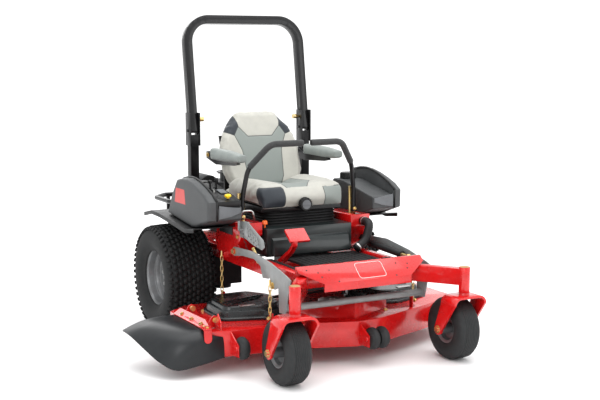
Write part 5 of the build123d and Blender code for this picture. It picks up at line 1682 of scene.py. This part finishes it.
@dataclass
class PowerUnit:
    """The engine and its muffler, with the fins, grille and seams that the frame leaves plain."""

    def build(self, shop: Workshop) -> None:
        """Make the grille, the fins and the muffler's seams."""
        top = at(0, 250, 850)
        grille = bmesh.new()
        for k in range(7):
            radius = 0.03 + 0.018 * k
            ring = []
            for n in range(41):
                turn = 2 * math.pi * n / 40
                way = Vector((math.cos(turn), math.sin(turn), 0))
                ring.append(top + way * radius + Vector((0, 0, 0.003)))
            tube(grille, ring, [0.0022], 6)
        for n in range(12):
            turn = 2 * math.pi * n / 12
            way = Vector((math.cos(turn), math.sin(turn), 0))
            tube(grille, [top + way * 0.02, top + way * 0.142], [0.003], 6)
        cylinder(grille, top, top + Vector((0, 0, 0.008)), 0.022, 32, 0.019)
        shop.piece("engine_grille", grille, "chassis", "black_plastic", "engine_alloy")
        fins = bmesh.new()
        for s in (-1, 1):
            for k in range(9):
                z = 600 + 16 * k
                block(fins, at(s * 150, 190, z), at(s * 190, 310, z + 4))
        shop.piece("cylinder_fins", fins, "chassis", "dark_casting", "engine_alloy", bevel=0.001)
        seams = bmesh.new()
        for x in (-176, -60, 60, 176):
            cylinder(seams, at(x - 3, 472, 570), at(x + 3, 472, 570), 0.0622, 40)
        shop.piece("muffler_seams", seams, "chassis", "heat_steel", "muffler_steel", bevel=0.0015)


# ---------------------------------------------------------------- studio


@dataclass
class Studio:
    """Pale floor, soft light and the camera."""

    eye: Point = (-2.75255, -5.48496, 1.58934)
    tilt: float = 90 - 7.8794
    heading: float = -28.4846
    lens: float = 67.0
    shift: Point = (-0.0032, 0.0070)
    floor_size: float = 400.0
    fill: float = 1.0

    def build(self) -> None:
        """Set the camera, the floor and the lights."""
        self.camera()
        self.floor()
        self.lights()

    def camera(self) -> None:
        """Place the camera and make it the scene's."""
        data = bpy.data.cameras.new("camera")
        data.lens = self.lens
        data.shift_x, data.shift_y = self.shift
        data.clip_end = 200
        camera = bpy.data.objects.new("camera", data)
        camera.location = self.eye
        camera.rotation_euler = (math.radians(self.tilt), 0, math.radians(self.heading))
        bpy.context.scene.collection.objects.link(camera)
        bpy.context.scene.camera = camera

    def floor(self) -> None:
        """Lay a pale matte floor under the machine."""
        mesh = bmesh.new()
        bmesh.ops.create_grid(mesh, x_segments=1, y_segments=1, size=self.floor_size / 2)
        data = bpy.data.meshes.new("floor")
        mesh.to_mesh(data)
        mesh.free()
        floor = bpy.data.objects.new("floor", data)
        bpy.context.scene.collection.objects.link(floor)
        paper = bpy.data.materials.new("studio_paper")
        paper.use_nodes = True
        shader = paper.node_tree.nodes["Principled BSDF"]
        shader.inputs["Base Color"].default_value = (0.9, 0.9, 0.9, 1)
        shader.inputs["Roughness"].default_value = 0.9
        shader.inputs["Specular IOR Level"].default_value = 0.1
        data.materials.append(paper)

    def lights(self) -> None:
        """Hang a large soft box overhead, one at each side, and fill the room with white."""
        for name, place, aim, size, power in (
            ("overhead", (0.4, -0.6, 4.2), (0, 0, 0.4), 4.5, 55),
            ("front_right", (-4.2, -3.8, 2.6), (0, -0.3, 0.6), 2.6, 50),
            ("front_left", (3.8, -4.4, 2.4), (0, -0.2, 0.6), 2.4, 30),
            ("behind", (0.5, 4.6, 3.2), (0, 0, 0.7), 3.0, 40),
        ):
            data = bpy.data.lights.new(name, "AREA")
            data.shape = "SQUARE"
            data.size = size
            data.energy = power
            lamp = bpy.data.objects.new(name, data)
            lamp.location = place
            lamp.rotation_euler = (Vector(aim) - Vector(place)).to_track_quat("-Z", "Y").to_euler()
            bpy.context.scene.collection.objects.link(lamp)
        data = bpy.data.lights.new("ceiling", "SUN")
        data.energy = 0.7
        data.angle = math.radians(70)
        ceiling = bpy.data.objects.new("ceiling", data)
        ceiling.location = (0, 0, 5)
        bpy.context.scene.collection.objects.link(ceiling)
        world = bpy.data.worlds.new("studio")
        world.use_nodes = True
        world.node_tree.nodes["Background"].inputs["Color"].default_value = (1, 1, 1, 1)
        world.node_tree.nodes["Background"].inputs["Strength"].default_value = self.fill
        bpy.context.scene.world = world
        bpy.context.scene.view_settings.view_transform = "Standard"
        bpy.context.scene.view_settings.look = "Medium High Contrast"


def main() -> None:
    """Build the looks of every sub-assembly, then the studio."""
    logging.basicConfig(level=logging.INFO, format="%(name)s: %(message)s")
    shop = Workshop(*make_finishes())
    Metalwork().build(shop)
    Seat().build(shop)
    for side, sign in (("right", -1), ("left", 1)):
        DriveWheel(side, sign).build(shop)
        CasterWheel(side, sign).build(shop)
        Lever(side, sign).build(shop)
        BeltCover(side, sign).build(shop)
        Tank(side, sign).build(shop)
    Deflector().build(shop)
    Chains().build(shop)
    Nose().build(shop)
    SmallParts().build(shop)
    PowerUnit().build(shop)
    Studio().build()


if __name__ == "__main__":
    main()
